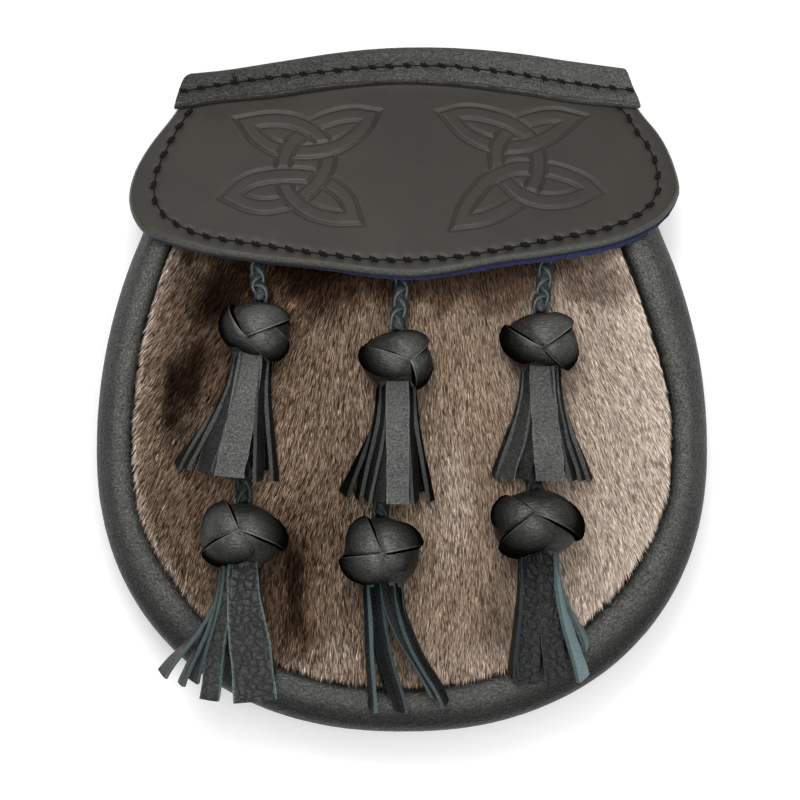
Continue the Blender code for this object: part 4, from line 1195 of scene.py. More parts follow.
def make_stitches(name, places, rise, look, size=1.0, ends=()):
    """Saddle stitches: two slanted lobes at each hole, and the thread that runs between the holes."""
    top = over_flap(places[:, 0], places[:, 1], rise)
    above = over_flap(places[:, 0], places[:, 1], rise + 0.001)
    up = unit(above - top)
    ahead = unit(np.gradient(top, axis=0))
    side = np.cross(up, ahead)
    shape = Shape()
    for n in range(len(top)):
        for share in (-1, 1):
            jitter = float(hashed(np.array([n, share + 2, 9]), 32)) - 0.5
            slant = math.radians(48 + 14 * jitter)
            line = ahead[n] * math.cos(slant) - side[n] * math.sin(slant)
            middle = top[n] + ahead[n] * share * LOBE_APART * size + up[n] * 0.00018
            middle = middle + side[n] * (0.00016 * jitter - 0.00008 * share)
            lobe(shape, middle, line, np.cross(up[n], line), up[n], size)
    section = round_section(6, THREAD_WIDTH * size, THREAD_HEIGHT * size)

    def add_thread(line, n):
        _, across, over = frames(line, up[n])
        shape.tube(swept(line, section, across, over))

    for n in range(len(top) - 1):
        shares = np.linspace(0.10, 0.90, 5)[:, None]
        add_thread(top[n] + (top[n + 1] - top[n]) * shares - up[n] * 0.00004, n)
    for at, loose in ends:
        n = int(np.linalg.norm(places - on_flap([at], rise), axis=1).argmin())
        for angle, long in loose:
            run = ahead[n] * math.cos(math.radians(angle)) + side[n] * math.sin(math.radians(angle))
            add_thread(top[n] + run * np.linspace(0, long, 5)[:, None] + up[n] * 0.0004, n)
    return shape.make(name, look, (), 0)


# The hide


def outside_height(x, y):
    """Height of the face of the rim, over places in plan."""
    places = np.column_stack([x, y])
    inset = nearest(places, body_line(GUSSET_TOP_Y, 0.0, 500)[:, 2:4])[0]
    face = np.array([row[:2] for row in GUSSET_SECTION[7:14]])
    height = np.interp(inset / (rim_width(places) / RIM_WIDTH_OF_SECTION), face[:, 0], face[:, 1])
    return height + rim_height(y) - RIM_HEIGHT


HIDE_TAN = np.array((0.195, 0.134, 0.090))
HIDE_LIGHT = np.array((0.300, 0.218, 0.156))
HIDE_PALE = np.array((0.640, 0.525, 0.435))
HIDE_BROWN = np.array((0.070, 0.036, 0.020))
HIDE_DARK = np.array((0.013, 0.0060, 0.0028))
HIDE_TO_LIGHT = (-0.034, 0.020)  # x over which the hide turns from tan to light, and from light to pale
HIDE_TO_PALE = (0.029, 0.076)
HIDE_PATCHES_AND_FLAP_SHADOW = (
    # colour, x, y, reach across, reach along, strength
    # The first patch is a painted shadow of the flap's edge on the hair
    (HIDE_BROWN, 0.0147, 0.0375, 0.0600, 0.0090, 0.80),
    (HIDE_BROWN, -0.0520, 0.0150, 0.0160, 0.0260, 0.65),
    (HIDE_BROWN, -0.0640, -0.0400, 0.0160, 0.0220, 0.35),
    (HIDE_BROWN, -0.0204, -0.0400, 0.0080, 0.0210, 0.30),
    (HIDE_BROWN, -0.0340, -0.0620, 0.0100, 0.0250, 0.75),
    (HIDE_BROWN, 0.0296, -0.0700, 0.0050, 0.0160, 0.40),
    (HIDE_BROWN, -0.0311, 0.0330, 0.0160, 0.0100, 0.85),
    (HIDE_DARK, -0.0552, 0.0300, 0.0120, 0.0115, 1.00),
    (HIDE_DARK, -0.0503, 0.0195, 0.0046, 0.0080, 1.00),
    (HIDE_DARK, -0.0631, 0.0221, 0.0040, 0.0045, 0.55),
    (HIDE_DARK, -0.0300, 0.0360, 0.0130, 0.0075, 0.85),
    (HIDE_DARK, -0.0671, 0.0000, 0.0054, 0.0135, 1.00),
    (HIDE_DARK, -0.0625, 0.0075, 0.0045, 0.0060, 0.70),
    (HIDE_DARK, -0.0323, -0.0588, 0.0040, 0.0130, 0.95),
    (HIDE_PALE, 0.0147, -0.0330, 0.0045, 0.0200, 0.30),
    (HIDE_PALE, 0.0520, -0.0640, 0.0180, 0.0160, 0.30),
    (HIDE_PALE, -0.0240, -0.0840, 0.0150, 0.0060, 0.26),
    (HIDE_PALE, 0.0220, -0.0840, 0.0200, 0.0065, 0.24),
)
PATCH_EDGE = 5.5  # how sharply a patch ends
SKIN_DROP = 0.0002  # how far the skin lies under the roots of the hair
FUR_LEAN = ([-0.08, -0.05, -0.01, 0.015, 0.05, 0.08], [-0.55, -0.42, -0.12, 0.06, 0.33, 0.46])  # x, lean
HAIR_PIECES = ((58000, False), (58000, False), (58000, False), (62000, True))  # hairs, and whether long
HAIR_LENGTH = (0.0018, 0.0034)
HAIR_WIDTH = (0.00006, 0.00012)
HAIR_LIFT = {False: (0.0003, 0.0009), True: (0.0009, 0.0014)}
HAIR_OVERHANG = (0.0005, 0.0026)  # how far the tips may reach over the rim
# The hair is painted darker at its roots and lighter at its tips: a painted shade between the hairs and
# painted light on the tips
HAIR_PAINTED_LIGHT = {False: (0.42, 0.42, 0.42, 1.30), True: (0.70, 1.0, 1.0, 1.25)}  # root, both sides, tip
HAIR_SPREAD = ([-0.03, 0.03, 0.07], [1.7, 1.05, 0.82])  # x, how much the strands differ there


def fur_heading(x, y):
    """How far the hair leans to the right of straight down, in radians."""
    return np.interp(x, *FUR_LEAN) * np.clip((y + 0.085) / 0.05, 0.15, 1)


def hide_colour(x, y):
    """The colour of the hair that grows at these places, with a painted shadow under the flap's edge."""
    spots = np.column_stack([x, y])
    warped_x = x + 0.0030 * noise(spots, (0.007, 0.016), 41) + 0.0012 * noise(spots, 0.0026, 42)
    warped_y = y + 0.0060 * noise(spots, (0.006, 0.014), 43) + 0.0030 * noise(spots, 0.003, 44)
    to_light, to_pale = (
        np.clip((warped_x - start) / (end - start), 0, 1)[:, None]
        for start, end in (HIDE_TO_LIGHT, HIDE_TO_PALE)
    )
    colour = HIDE_TAN + (HIDE_LIGHT - HIDE_TAN) * to_light
    colour = colour + (HIDE_PALE - HIDE_LIGHT) * to_pale
    for patch, at_x, at_y, reach_x, reach_y, strength in HIDE_PATCHES_AND_FLAP_SHADOW:
        away = ((warped_x - at_x) / reach_x) ** 2 + ((warped_y - at_y) / reach_y) ** 2
        share = strength / (1 + np.exp((np.sqrt(away) - 1.0) * PATCH_EDGE))
        colour = colour + (patch - colour) * share[:, None]
    streak = noise(spots, (0.006, 0.022), 46) * 0.12
    colour = colour * (1 + streak)[:, None]
    # The tips along both sides are pale
    inset = side_of_edge(x, y) - np.abs(x - EDGE[LOW, 0])
    share = 0.50 * np.exp(-np.clip(inset - 0.0008, 0, 1) / 0.0012) * np.clip((y + 0.075) / 0.03, 0, 1)
    return colour + (HIDE_PALE - colour) * share[:, None]


def tufts(x, y):
    """A factor for the brightness of the hair: strands that lie together are alike, and the gaps between
    tufts have painted shade.
    """
    heading = fur_heading(x, y)
    across = x * np.cos(heading) + y * np.sin(heading)
    down = x * np.sin(heading) - y * np.cos(heading)
    spots = np.column_stack([across, down])
    narrow = noise(spots, (0.00033, 0.0026), 47)
    wide = noise(spots, (0.0012, 0.0050), 48)
    painted_gap_shade = np.clip(noise(spots, (0.00030, 0.0016), 49) - 0.25, 0, 1)
    return np.exp(0.58 * narrow + 0.14 * wide - 2.6 * painted_gap_shade)


def make_hide(look):
    rings, spokes = 40, 260
    border = np.vstack([EDGE, np.linspace(EDGE[-1], EDGE[0], 120)[1:-1]])
    border = spaced(np.vstack([border, border[:1]]), spokes + 1)[:-1]
    centre = np.array([0.0, FAN_CENTRE_Y])
    shares = np.linspace(1 / rings, 1, rings)[:, None, None]
    plan = centre + (border[None] - centre) * shares
    face = np.concatenate([plan, front_height(plan[..., 0], plan[..., 1])[..., None] - SKIN_DROP], -1)
    # The back of the panel follows its face
    thick = FRONT_THICK - SKIN_DROP
    under = face.copy()
    under[..., 2] -= thick
    middle = np.array([[*centre, float(front_height(*centre)) - SKIN_DROP]])
    points = np.vstack([middle, face.reshape(-1, 3), middle - [0, 0, thick], under.reshape(-1, 3)])
    sheet = grid(rings, spokes, True) + 1
    around = np.arange(spokes)
    after = np.roll(around, -1)
    cap = np.stack([np.zeros(spokes, int), around + 1, after + 1], -1)
    half = 1 + rings * spokes
    last = 1 + (rings - 1) * spokes
    wall = np.stack([last + around, last + half + around, last + half + after, last + after], -1)
    faces = [cap, sheet, cap[:, ::-1] + half, sheet[:, ::-1] + half, wall]
    shape = Shape()
    # The skin under the hair is painted dark, a painted shade in the gaps between hairs
    shape.add(points, faces, 0.0, hide_colour(points[:, 0], points[:, 1]) * 0.35)
    shape.make("hide_skin", look, ["front_panel"], 50)


def within_hide(x, y, margin=0.0):
    """Whether places lie on the hide, or less than a margin outside its edge."""
    reach = side_of_edge(x, np.maximum(y + margin, EDGE[LOW, 1]))
    beside = np.abs(x - EDGE[LOW, 0]) < reach + margin
    return beside & (y > EDGE[LOW, 1] - margin) & (y < MOUTH_Y)


def make_fur(look):
    """Short sleek hair, combed downwards: dense hair, and over it longer hairs that show one by one."""
    for piece, (hairs, single) in enumerate(HAIR_PIECES):
        generator = np.random.default_rng(100 + piece)
        root = generator.uniform(EDGE.min(0), EDGE.max(0), (int(hairs * 1.4), 2))
        root = root[within_hide(root[:, 0], root[:, 1])][:hairs]
        count = len(root)
        length = generator.uniform(*HAIR_LENGTH, count)
        heading = fur_heading(root[:, 0], root[:, 1])
        heading = heading + 0.12 * noise(root, 0.016, 51) + 0.06 * noise(root, 0.0045, 52)
        heading = heading + generator.normal(0, 0.06, count)
        ahead = np.column_stack([np.sin(heading), -np.cos(heading)])
        side = -to_left(ahead)
        overhang = generator.uniform(*HAIR_OVERHANG, count)
        for _ in range(8):
            tip = root + ahead * length[:, None]
            length = np.where(within_hide(tip[:, 0], tip[:, 1], overhang), length, length * 0.8)
        widest = 0.35 if single else 0.0
        width = generator.uniform(*HAIR_WIDTH, count)
        lift = generator.uniform(*HAIR_LIFT[single], count)
        roll = generator.uniform(-0.5, 0.5, count)
        colour = hide_colour(root[:, 0], root[:, 1])
        # The strands differ more on the darker side of the hide
        spread = np.interp(root[:, 0], *HAIR_SPREAD)[:, None]
        if single:
            bright = np.where(generator.uniform(0, 1, count) < 0.24, 0.36, 1.25)
            bright = bright * np.exp(generator.normal(0, 0.24, count))
        else:
            bright = tufts(root[:, 0], root[:, 1]) * np.exp(generator.normal(0, 0.20, count))
        colour = colour * bright[:, None] ** (spread * [0.94, 1.0, 1.07])
        # The corners of a hair are its root, both sides of its widest place, and its tip
        plan = np.stack([root, root, root, root + ahead * length[:, None]], 1)
        rise = np.zeros((count, 4))
        for corner, sign in ((1, -1), (2, 1)):
            beside = side * (width * np.cos(roll) * sign)[:, None]
            plan[:, corner] += ahead * (length * widest)[:, None] + beside
            rise[:, corner] = lift * min(1, widest * 2) + width * np.sin(roll) * sign
        rise[:, 3] = lift
        flat = plan.reshape(-1, 2)
        height = front_height(flat[:, 0], flat[:, 1])
        edge = ~within_hide(flat[:, 0], flat[:, 1], -0.0020)
        height[edge] = np.maximum(height[edge], outside_height(flat[edge, 0], flat[edge, 1]))
        points = np.column_stack([flat, height + rise.ravel() + 0.0001])
        # Painted shade at the roots and painted light at the tips
        tint = np.stack([colour * painted_shading for painted_shading in HAIR_PAINTED_LIGHT[single]], 1).reshape(-1, 3)
        corners = [[0, 1, 2], [1, 3, 2]] if single else [[1, 3, 2]]
        faces = [np.arange(count)[:, None] * 4 + corner for corner in corners]
        shape = Shape()
        shape.add(points, faces, 0.0, np.clip(tint, 0, 1), closed=False)
        shape.make(f"hide_hair_{piece + 1}", look, (), 0)


# Tassels


CORE_INSET = 0.0007  # of the ball under the bands
# The ball is painted darker: a painted shade where it shows between the bands
CORE_PAINTED_SHADE = (0.65, 0.65, 0.65)
BACK_HEADINGS = (200, 320, 80)  # the seams behind a head, in degrees
BAND_REACH = 0.90  # how far a band goes round the ball from its seam, in radians
BAND_THICK = 0.0010
BAND_LOW = -0.0011  # how far a band is sunk in before its seam, and how far it then comes up
BAND_RISE = 0.0015
BAND_CROWN = 0.00055
CREASES = np.array([-0.075, -0.012])  # radians from a seam to both edges of the wall beside it
# The direction in which the heads of a row get the most painted light, and their colour
HEAD_LIT = {"upper": unit(np.array([0.24, 0.26, 0.95])), "lower": unit(np.array([-0.10, 0.30, 0.95]))}
HEAD_COLOURS = {"upper": np.array((1.0, 1.0, 0.97)), "lower": np.array((0.95, 1.0, 0.99))}
# How light each head is, and how much painted highlight lies along the edge of each of its seams
HEAD_TONES = {
    "upper_left": 0.88,
    "upper_middle": 0.74,
    "upper_right": 0.66,
    "lower_left": 0.72,
    "lower_middle": 0.76,
    "lower_right": 0.52,
}
SEAM_PAINTED_HIGHLIGHTS = {
    "upper_left": (0.8, 0.8, 0.8),
    "upper_middle": (0.8, 0.8, 0.8),
    "upper_right": (0.8, 0.8, 0.8),
    "lower_left": (0.3, 1.8, 0.5),
    "lower_middle": (0.0, 1.0, 0.6),
    "lower_right": (0.5, 0.5, 0.5),
}


def head_place(tassel):
    """Middle, half width, half length, half depth and directions of a tassel's head."""
    _, x, y, width, length, foot_x, tilt = tassel
    depth = width * HEAD_DEPTH / 2
    z = float(front_height(x, y)) + HEAD_LIFT + depth
    lean = math.atan2(foot_x - x, length)
    tilt = math.radians(tilt)
    axis = np.array([math.sin(lean) * math.cos(tilt), -math.cos(lean) * math.cos(tilt), math.sin(tilt)])
    side = np.array([math.cos(lean), math.sin(lean), 0])
    return np.array([x, y, z]), width / 2, length / 2, depth, axis, side


def make_head(tassel, look):
    """A ball of leather bands that pass over and under each other."""
    name = tassel[0]
    row = name.split("_")[0]
    middle, wide, long, deep, axis, side = head_place(tassel)
    up = np.cross(axis, side)
    sizes = np.array([wide, long, deep])
    basis = np.array([side, axis, up])

    def place(directions, lift):
        """Points of the ball in these directions, lifted square to it."""
        directions = unit(directions)
        square = unit(directions / sizes)
        return middle + (directions * sizes + square * np.asarray(lift)[..., None]) @ basis

    shape = Shape()
    across = np.linspace(0.02, math.pi - 0.02, 20)[:, None]
    around = np.linspace(0, math.tau, 28, endpoint=False)
    ring = np.sin(across)
    ball = np.stack(np.broadcast_arrays(ring * np.cos(around), -np.cos(across), ring * np.sin(around)), -1)
    shape.tube(place(ball, np.full(ball.shape[:2], -CORE_INSET)), 0.0, CORE_PAINTED_SHADE)
    spot, headings = JUNCTIONS[name]
    # The direction of the junction, from the camera's ray through its spot
    target = middle + up * deep
    for _ in range(6):
        x, y = seen(np.array([spot], float), target[2])[0]
        local = basis @ (np.array([x, y, target[2]]) - middle)
        flat = local[:2] / sizes[:2]
        rest = max(0.05, 1 - float(flat @ flat))
        start = unit(np.array([*flat, math.sqrt(rest)]))
        target = place(start, 0.0)
    # Three bands in front, and three behind. The angle t runs along a seam, and e from it across the band
    for number, (pole, seams, reach, end) in enumerate(
        ((start, headings, 2.1, 1.85), (-start, BACK_HEADINGS, 1.3, 0.90))
    ):
        edges = []
        for heading in seams:
            angle = math.radians(heading)
            run = basis @ np.array([math.sin(angle), math.cos(angle), 0.0])
            run = unit(run - pole * (run @ pole))
            left = np.cross(pole, run)
            if number == 0 and (left @ basis)[:2] @ np.array([-math.cos(angle), math.sin(angle)]) < 0:
                left = -left
            edges.append((run, left))
        t = np.linspace(-0.75, reach, 40)
        e = np.concatenate([[0.0, 0.035], np.linspace(0.1, 1.0, 10)])
        level = 1 / (1 + np.exp(-(t - 0.02) / 0.07))
        falls = 1 / (1 + np.exp((t - end) / 0.10))
        lift = BAND_LOW + BAND_RISE * level * falls
        pinch = 1 - 0.30 * np.clip((t - 0.9) / 1.1, 0, 1)
        phi = e[None, :] * BAND_REACH * pinch[:, None]
        crown = BAND_CROWN * (1 - (2 * e - 1) ** 2) - 0.00030 * np.exp(-((e / 0.05) ** 2))
        crown = crown + 0.0007 - 0.0014 * e
        for n, (run, left) in enumerate(edges):
            circle = pole * np.cos(t)[:, None] + run * np.sin(t)[:, None]
            direction = circle[:, None] * np.cos(phi)[..., None] + left * np.sin(phi)[..., None]
            spread = direction @ np.array([run, left, pole]).T
            wrinkle = 0.00012 * noise(direction * 4 + number * 9, 0.22, 60 + n)
            wrinkle = wrinkle + 0.00010 * noise(spread * [1.0, 3.2, 1.0] + number, 0.30, 66 + n)
            top = place(direction, lift[:, None] + crown + wrinkle)
            # The wall under the free edge slants outwards, and is painted near black as the shadow line
            # beside the seam
            wall = circle[:, None] * np.cos(CREASES)[:, None] + left * np.sin(CREASES)[:, None]
            under = place(wall, lift[:, None] - [BAND_THICK, 0.0])
            bottom = place(direction[:, :0:-1], np.repeat(lift[:, None] - BAND_THICK, len(e) - 1, 1))
            rings = np.concatenate([top, bottom, under], 1)
            mark = np.zeros(rings.shape[:2])
            mark[:, 0] = 0.8 if row == "upper" else 0.5
            mark[:, len(e) - 1 : 2 * len(e) - 1] = 0.5
            # Painted light and shade: darker down the sides of the ball, painted shade beside the other
            # seams, and a painted highlight along the free edge
            facing = (direction @ basis) @ HEAD_LIT[row]
            painted_shading = np.clip(0.16 + 2.3 * np.clip(facing, 0, 1) ** 2.8, 0.2, 2.4) * HEAD_TONES[name]
            for other_run, other_left in edges[:n] + edges[n + 1 :]:
                gap = -(direction @ other_left)
                beside = (gap > -0.02) & (direction @ other_run > 0) & (t[:, None] > 0)
                painted_shading = painted_shading * (1 - 0.85 * np.exp(-((gap / 0.085) ** 2)) * beside)
            painted_shading = np.concatenate([painted_shading, painted_shading[:, :0:-1], np.full((len(t), 2), 0.05)], 1)
            bright = SEAM_PAINTED_HIGHLIGHTS[name][n] if number == 0 else 0.0
            painted_shading[:, 0] *= 1 + bright * np.clip(t / 0.2, 0, 1) * np.clip((1.5 - t) / 0.3, 0, 1)
            shape.tube(rings, mark, painted_shading[..., None] * HEAD_COLOURS[row])
    return shape.make("head_" + name, look, ["knot_" + name], 38)


def bezier(corners, t):
    """A cubic curve of four corners."""
    t = t[:, None]
    shares = ((1 - t) ** 3, 3 * t * (1 - t) ** 2, 3 * t * t * (1 - t), t**3)
    return sum(share * corner for share, corner in zip(shares, corners))


COLLAR_RINGS = (
    # distance along the axis, share of the width
    (-0.0010, 0.80), (0.0, 0.98), (0.0010, 1.0), (0.0022, 0.94), (0.0036, 0.72), (0.0046, 0.40),
)
STRIP_ROWS = 26
STRIP_EDGES = [0, 6, 7, 13]  # the points of a strip's section at its edges
SUEDE_BLUE = (0.72, 0.98, 1.06)
# Strips that show their flesh side, how far the sides of the strips are suede, strips with coarse grain, and
# how light each strip is: its own tone, with painted light that makes the front strips lighter than the rest
STRIP_LOOKS = {
    "upper_left": ((), 0.15, (), (3.4, 1.15, 0.6, 0.6, 0.7, 0.6, 0.4, 1.6)),
    "upper_middle": ((), 0.25, (), (3.0, 0.7, 0.4, 0.3, 0.6, 0.4, 0.3, 0.8)),
    "upper_right": ((), 0.15, (), (2.5, 1.5, 0.7, 0.8, 0.6, 0.6, 0.4, 0.8)),
    "lower_left": ((), 0.50, (0, 1), (2.0, 1.8, 1.1, 1.0, 1.2, 0.8, 0.8)),
    "lower_middle": ((), 1.00, (), (0.62, 0.5, 0.66, 0.5, 0.5, 0.4)),
    "lower_right": ((2, 4), 0.30, (0, 1), (1.0, 1.0, 2.05, 0.7, 1.7, 0.6)),
}
# Narrow strips that stand on edge beside the front strip, as in STRIPS
MORE_STRIPS = {
    "upper_left": ((-28, 0.0036, -0.0560, -0.0264, 0.0080, 0.0036, 50),),
    "upper_middle": ((-26, 0.0036, -0.0072, -0.0346, 0.0070, 0.0040, -50),),
    "upper_right": ((-28, 0.0036, 0.0374, -0.0279, 0.0076, 0.0044, -46),),
}
MORE_DEPTH = 0.35
CORE_DIAMETER = CORD_DIAMETER * 0.56
BRAID_PITCH = 0.0150
STRAND_WIDTH = 0.0025
STRAND_THICK = 0.0012


def make_skirt(tassel, look):
    """The leather strips of a tassel, with the rolled collar that they start from."""
    name = tassel[0]
    middle, _, long, _, axis, side = head_place(tassel)
    up = np.cross(axis, side)
    start = middle + axis * (long * HEAD_END + GAP)
    # The collar starts inside the head
    start = start - axis * 0.0030 - up * 0.0008
    seed = [row[0] for row in TASSELS].index(name)
    shape = Shape()
    angles = np.linspace(0, math.tau, 20, endpoint=False)
    ring = np.outer(np.sin(angles), side) * COLLAR_WIDTH / 2 + np.outer(np.cos(angles), up) * COLLAR_DEPTH / 2
    shape.tube([start + axis * distance + ring * share for distance, share in COLLAR_RINGS])
    ahead = unit(np.array([axis[0], axis[1], 0.0]))
    suede, walls, coarse, strip_tone_and_light = STRIP_LOOKS[name]
    for number, strip in enumerate(STRIPS[name] + MORE_STRIPS.get(name, ())):
        angle, root_width, tip_x, tip_y, tip_rise, tip_width, roll = strip
        turn = math.radians(angle)
        ring = side * math.sin(turn) * COLLAR_WIDTH / 2 + up * math.cos(turn) * COLLAR_DEPTH / 2
        depth = ROOT_DEPTH if number < len(STRIPS[name]) else MORE_DEPTH
        root = start + axis * ROOT_START + ring * depth
        tip = np.array([tip_x, tip_y, float(front_height(tip_x, tip_y)) + tip_rise])
        reach = np.linalg.norm(tip - root) * STRIP_REACH
        flat = unit(np.array([tip[0] - root[0], tip[1] - root[1], 0.0]))
        landing = tip - flat * reach * 0.7 + np.array([0, 0, (root[2] - tip[2]) * STRIP_FALL])
        t = np.linspace(0, 1, STRIP_ROWS)
        line = bezier((root, root + ahead * reach + [0, 0, STRIP_RISE], landing, tip), t)

        def wander(pace, apart, tassels_apart, row):
            """Noise along the strip, different for each."""
            places = np.broadcast_arrays(t * pace, number * apart, seed * tassels_apart)
            return noise(np.column_stack(places), 1.0, row)

        tangent, level, square = frames(line, np.array([0.0, 0.0, 1.0]))
        line = line + level * (wander(2.2, 3.1, 5.3, 71) * t * 0.0009)[:, None]
        line = line + square * (wander(3, 1, 1, 72) * t * 0.0005)[:, None]
        twist = (angle - roll + 90) % 180 - 90
        spin = np.radians(twist * t - angle)
        width = root_width + (tip_width - root_width) * np.minimum(1, 1.5 * t)
        across = square * np.sin(spin)[:, None] - level * np.cos(spin)[:, None]
        over = square * np.cos(spin)[:, None] + level * np.sin(spin)[:, None]
        over = over * (1 if over[-1, 2] > 0 else -1)
        # Seven points across the face of the strip, from -1 to 1, and as many across its back
        e = np.array([-1, -0.86, -0.45, 0.0, 0.45, 0.86, 1])
        thick = STRIP_THICK * (1.0 - 0.15 * t)
        cup = 0.00022 * (1 - e**2)
        spots = np.stack(np.broadcast_arrays(t[:, None] * 0.035, e * 0.004, number * 0.02 + seed * 0.3), -1)
        bumps = 0.00013 * noise(spots, 0.0022, 73) + 0.00018 * noise(spots, 0.007, 74)
        edge_jitter = 1 + 0.05 * wander(9, 1, 1, 75)
        slant = 0.0012 * (float(hashed(np.array([number, seed, 5]), 76)) - 0.5)
        half = (width / 2 * edge_jitter)[:, None]
        base = line[:, None] + across[:, None] * (half * e)[..., None]
        base = base + tangent[:, None] * (slant * e * t[:, None] ** 8)[..., None]
        top = base + over[:, None] * (thick[:, None] / 2 + cup + bumps)[..., None]
        low = base[:, ::-1] - over[:, None] * (thick[:, None] / 2 - cup)[..., None]
        rings = np.concatenate([top, low], 1)
        mark = np.full(rings.shape[:2], walls)
        mark[:, :7] = 1.0 if number in suede else 0.0
        mark[:, [0, 6]] = 1.0 if walls > 0.4 else walls
        # Painted light and shade: each strip darker near the collar where the head shades it and darker on
        # its back; on the narrow strips of the upper tassels and on those of the lower middle one, darker
        # faces and lighter edges, the edges partly their own cut colour and partly a painted highlight
        tint = np.repeat((strip_tone_and_light[number] * (0.40 + 0.60 * np.clip(t * 4.0, 0, 1)))[:, None], 14, 1)
        tint[:, 8:13] *= 0.6
        if walls > 0.8:
            tint[:, STRIP_EDGES] *= 1.7
            tint[:, 3] *= 0.75
        elif name.startswith("upper") and 0 < number < 7:
            tint[:, STRIP_EDGES] *= 2.3
            tint[:, 1:6] *= 0.65
        colour = np.ones((14, 3))
        if name.startswith("lower"):
            colour[:] = SUEDE_BLUE
            if number not in suede:
                colour[1:6] = (0.85, 1.0, 1.0) if walls > 0.8 else (0.94, 1.0, 0.96)
        shape.tube(rings, mark, tint[..., None] * colour, 1.0 if number in coarse else 0.0)
    return shape.make("skirt_leather_" + name, look, ["skirt_" + name], 45)


def cord_line(tassel):
    """The route of a tassel's cord."""
    middle, _, long, _, axis, _ = head_place(tassel)
    rows = [(x, y, float(front_height(x, y)) + rise) for x, y, rise in CORDS[tassel[0]]]
    end = middle + axis * (long * HEAD_START - CORD_GAP)
    rows.append(tuple(end - axis * CORD_STRAIGHT))
    line = smooth_curve(rows, 12)
    line = np.vstack([spaced(line, 40), end])
    return spaced(line, 72)


def make_cord(tassel, look):
    """A round braid of four strands. Two wind to the left and two to the right."""
    name = tassel[0]
    line = cord_line(tassel)
    length = along(line)
    _, side, up = frames(line, np.array([0.0, 0.0, 1.0]))
    shape = Shape()
    shape.tube(swept(line, round_section(10, CORE_DIAMETER, CORE_DIAMETER), side, up))
    section = round_section(10, STRAND_WIDTH, STRAND_THICK, 2.6)
    edges = np.abs(np.cos(np.linspace(0, math.tau, 10, endpoint=False))) ** 6
    for winds, phase in ((1, 0.0), (1, math.pi), (-1, math.pi / 2), (-1, 3 * math.pi / 2)):
        angle = winds * math.tau * length / BRAID_PITCH + phase
        # Each strand goes over and under those of the other pair
        radius = CORD_DIAMETER / 2 - 0.00065 + 0.00034 * np.cos(2 * angle + winds * math.pi / 2)
        outward = side * np.cos(angle)[:, None] + up * np.sin(angle)[:, None]
        middle = line + outward * radius[:, None]
        run = unit(np.gradient(middle, axis=0))
        across = unit(np.cross(run, outward))
        shape.tube(swept(middle, section, across, np.cross(across, run)), np.tile(edges, (len(line), 1)))
    if name.startswith("lower"):
        shape.tints = [0.45 * tints for tints in shape.tints]
    piece = shape.make("braid_" + name, look, ["cord_" + name], 0)


# The back


def make_back(look):
    inset = GUSSET_SECTION[1][0] + BACK_EDGE_GAP
    lower = body_line(GUSSET_TOP_Y + BACK_CORNER_RISE, inset, 260)[:, :2]
    fold = top_line()
    fold[0, 0] += TOP_EDGE_INSET
    fold[-1, 0] -= TOP_EDGE_INSET
    outline = outlined(np.vstack([lower, fold[::-1]]), 0.0016)

    def place(x, y, rise):
        return np.stack(np.broadcast_arrays(x, y, BACK_Z + rise), -1)

    profile = (
        # inset, rise, mark
        (0.00040, BACK_THICK, 0.0),
        (0.00000, BACK_THICK - 0.0004, 0.6),
        (0.00000, 0.0004, 0.6),
        (0.00040, 0.0000, 0.0),
    )
    shape = Shape()
    inner = scattered(outline.min(0), outline.max(0), 0.006)
    add_plate(shape, outline, profile, place, inner, 0.0035)
    # Both faces are finished leather
    shape.marks = [shape.marks[0] * (np.abs(shape.points[0][:, 2] - BACK_Z - BACK_THICK / 2) < 0.0008)]
    shape.make("back_leather", look, ["back_panel"], 50)


def make_loops(look):
    outer = smooth_curve(LOOP_SECTION, 8)
    inner = outer + to_left(unit(np.gradient(outer, axis=0))) * LOOP_THICK
    e = np.linspace(-1, 1, 9)
    crown = 0.0002 * (1 - np.abs(e) ** 6)
    for name, sign in (("left", -1), ("right", 1)):
        x = sign * LOOP_X + e * LOOP_WIDTH / 2
        rings = []
        for low, high in zip(outer, inner):
            bottom = np.column_stack([x, np.full(9, LOOP_Y + low[0]), low[1] + 0.0002 - crown])
            top = np.column_stack([x[::-1], np.full(9, LOOP_Y + high[0]), np.full(9, high[1])])
            rings.append(np.vstack([bottom, top]))
        mark = np.zeros((len(rings), 18))
        mark[:, [0, 8, 9, 17]] = 0.7
        shape = Shape()
        shape.tube(rings, mark)
        shape.make("belt_loop_leather_" + name, look, ["belt_loop_" + name], 50)


# Stage

LIGHTS_AIM = (0, 0, 0.02)


def make_stage():
    far = 1.6
    mesh = bpy.data.meshes.new("floor")
    mesh.from_pydata([(-far, -far, 0), (far, -far, 0), (far, far, 0), (-far, far, 0)], [], [(0, 1, 2, 3)])
    mesh.materials.append(floor_look())
    floor = bpy.data.objects.new("floor", mesh)
    floor.location.z = -0.0002
    bpy.context.scene.collection.objects.link(floor)


def add_light(name, place, size, energy):
    data = bpy.data.lights.new(name, "AREA")
    data.shape = "DISK"
    data.size = size
    data.energy = energy
    light = bpy.data.objects.new(name, data)
    light.location = place
    light.rotation_euler = (Vector(LIGHTS_AIM) - Vector(place)).to_track_quat("-Z", "Y").to_euler()
    bpy.context.scene.collection.objects.link(light)


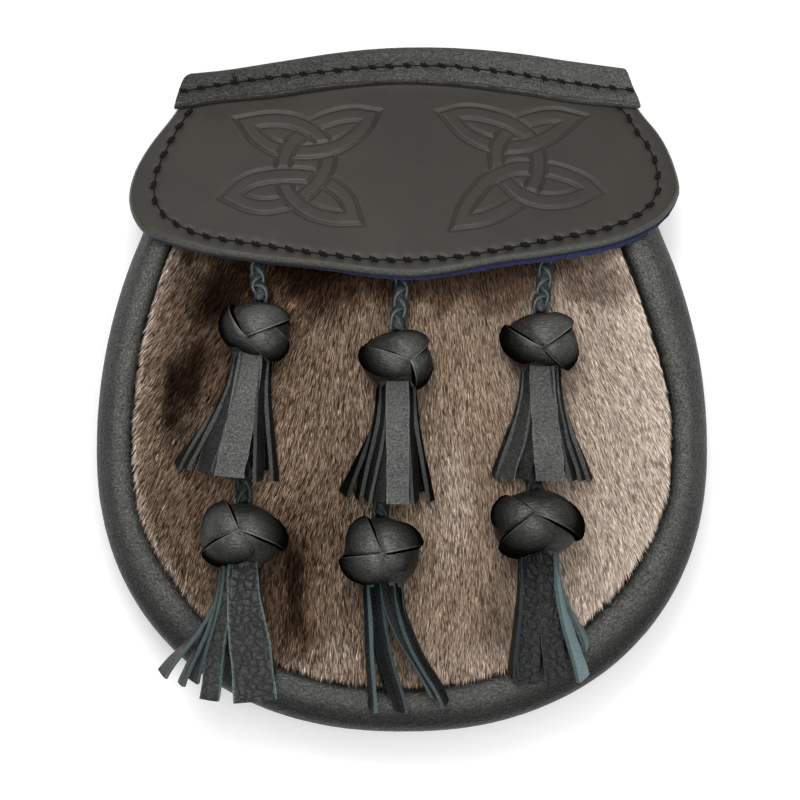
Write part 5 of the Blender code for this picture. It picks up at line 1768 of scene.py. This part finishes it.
def make_view():
    data = bpy.data.cameras.new("camera")
    data.lens = LENS
    data.sensor_width = SENSOR
    data.sensor_fit = "HORIZONTAL"
    data.clip_start = 0.01
    camera = bpy.data.objects.new("camera", data)
    camera.location = CAMERA
    bpy.context.scene.collection.objects.link(camera)
    bpy.context.scene.camera = camera
    world = bpy.data.worlds.new("studio")
    world.use_nodes = True
    background = world.node_tree.nodes["Background"]
    background.inputs["Color"].default_value = (1, 1, 1, 1)
    background.inputs["Strength"].default_value = 0.275
    bpy.context.scene.world = world
    add_light("key", (-0.14, 0.56, 1.00), 0.50, 6.2)
    add_light("top", (0.05, 0.10, 1.30), 1.10, 7.4)
    add_light("fill", (0.50, -0.45, 0.95), 0.90, 3.2)
    bpy.context.scene.view_settings.view_transform = "Standard"


def main():
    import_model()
    make_view()
    make_stage()
    flap_face = smooth_leather("flap_leather_look", rgb(39, 37, 31), rgb(48, 46, 39), rgb(84, 85, 81), 0.52)
    knot_face = grained_leather(
        "knot_leather_look", rgb(32, 32, 28), rgb(47, 47, 43), rgb(100, 102, 98), roughness=0.33,
        size=0.0007, depth=0.00008, specks=0.05, creases=0.00026, wrinkles=0.42, shine=1.0
    )
    rim_face = grained_leather(
        "grained_leather_look", rgb(33, 33, 30), rgb(46, 46, 42), rgb(84, 86, 82), roughness=0.40,
        size=0.0009, depth=0.00015, specks=0.04, creases=0.00024, shine=0.85, contrast=0.70
    )
    strip_face = grained_leather(
        "strip_leather_look", rgb(35, 36, 35), rgb(52, 53, 51), rgb(98, 102, 100), roughness=0.44,
        size=0.0008, depth=0.00014, specks=0.12, folds=0.0027, shine=0.6, contrast=0.45
    )
    cord_face = grained_leather(
        "cord_leather_look", rgb(32, 37, 37), rgb(50, 57, 58), rgb(98, 107, 108), roughness=0.40,
        size=0.0009, depth=0.00006
    )
    back_face = grained_leather(
        "back_leather_look", rgb(36, 34, 31), rgb(48, 45, 41), rgb(84, 78, 70), roughness=0.55,
        size=0.0014, depth=0.00012
    )
    lining_face = cloth("lining_look", rgb(18, 22, 50), rgb(44, 52, 98))
    hair_face = hair("hair_look")
    thread_face = thread("thread_look")
    make_gusset(rim_face)
    stitches = make_flap(flap_face, lining_face)
    make_stitches("flap_stitches", stitches, STACK_THICK + 0.00005, thread_face)
    make_binding(rim_face)
    places = seam_places(BINDING_SEAM, STACK_THICK + BINDING_THICK, BINDING_STITCH)[0]
    rise = STACK_THICK + 2 * GAP + BINDING_THICK - 0.0001
    make_stitches("binding_stitches", places, rise, thread_face, 0.9, THREAD_ENDS)
    make_hide(hair_face)
    make_fur(hair_face)
    make_back(back_face)
    make_loops(back_face)
    for tassel in TASSELS:
        head = make_head(tassel, knot_face)
        skirt = make_skirt(tassel, strip_face)
        make_cord(tassel, cord_face)


main()
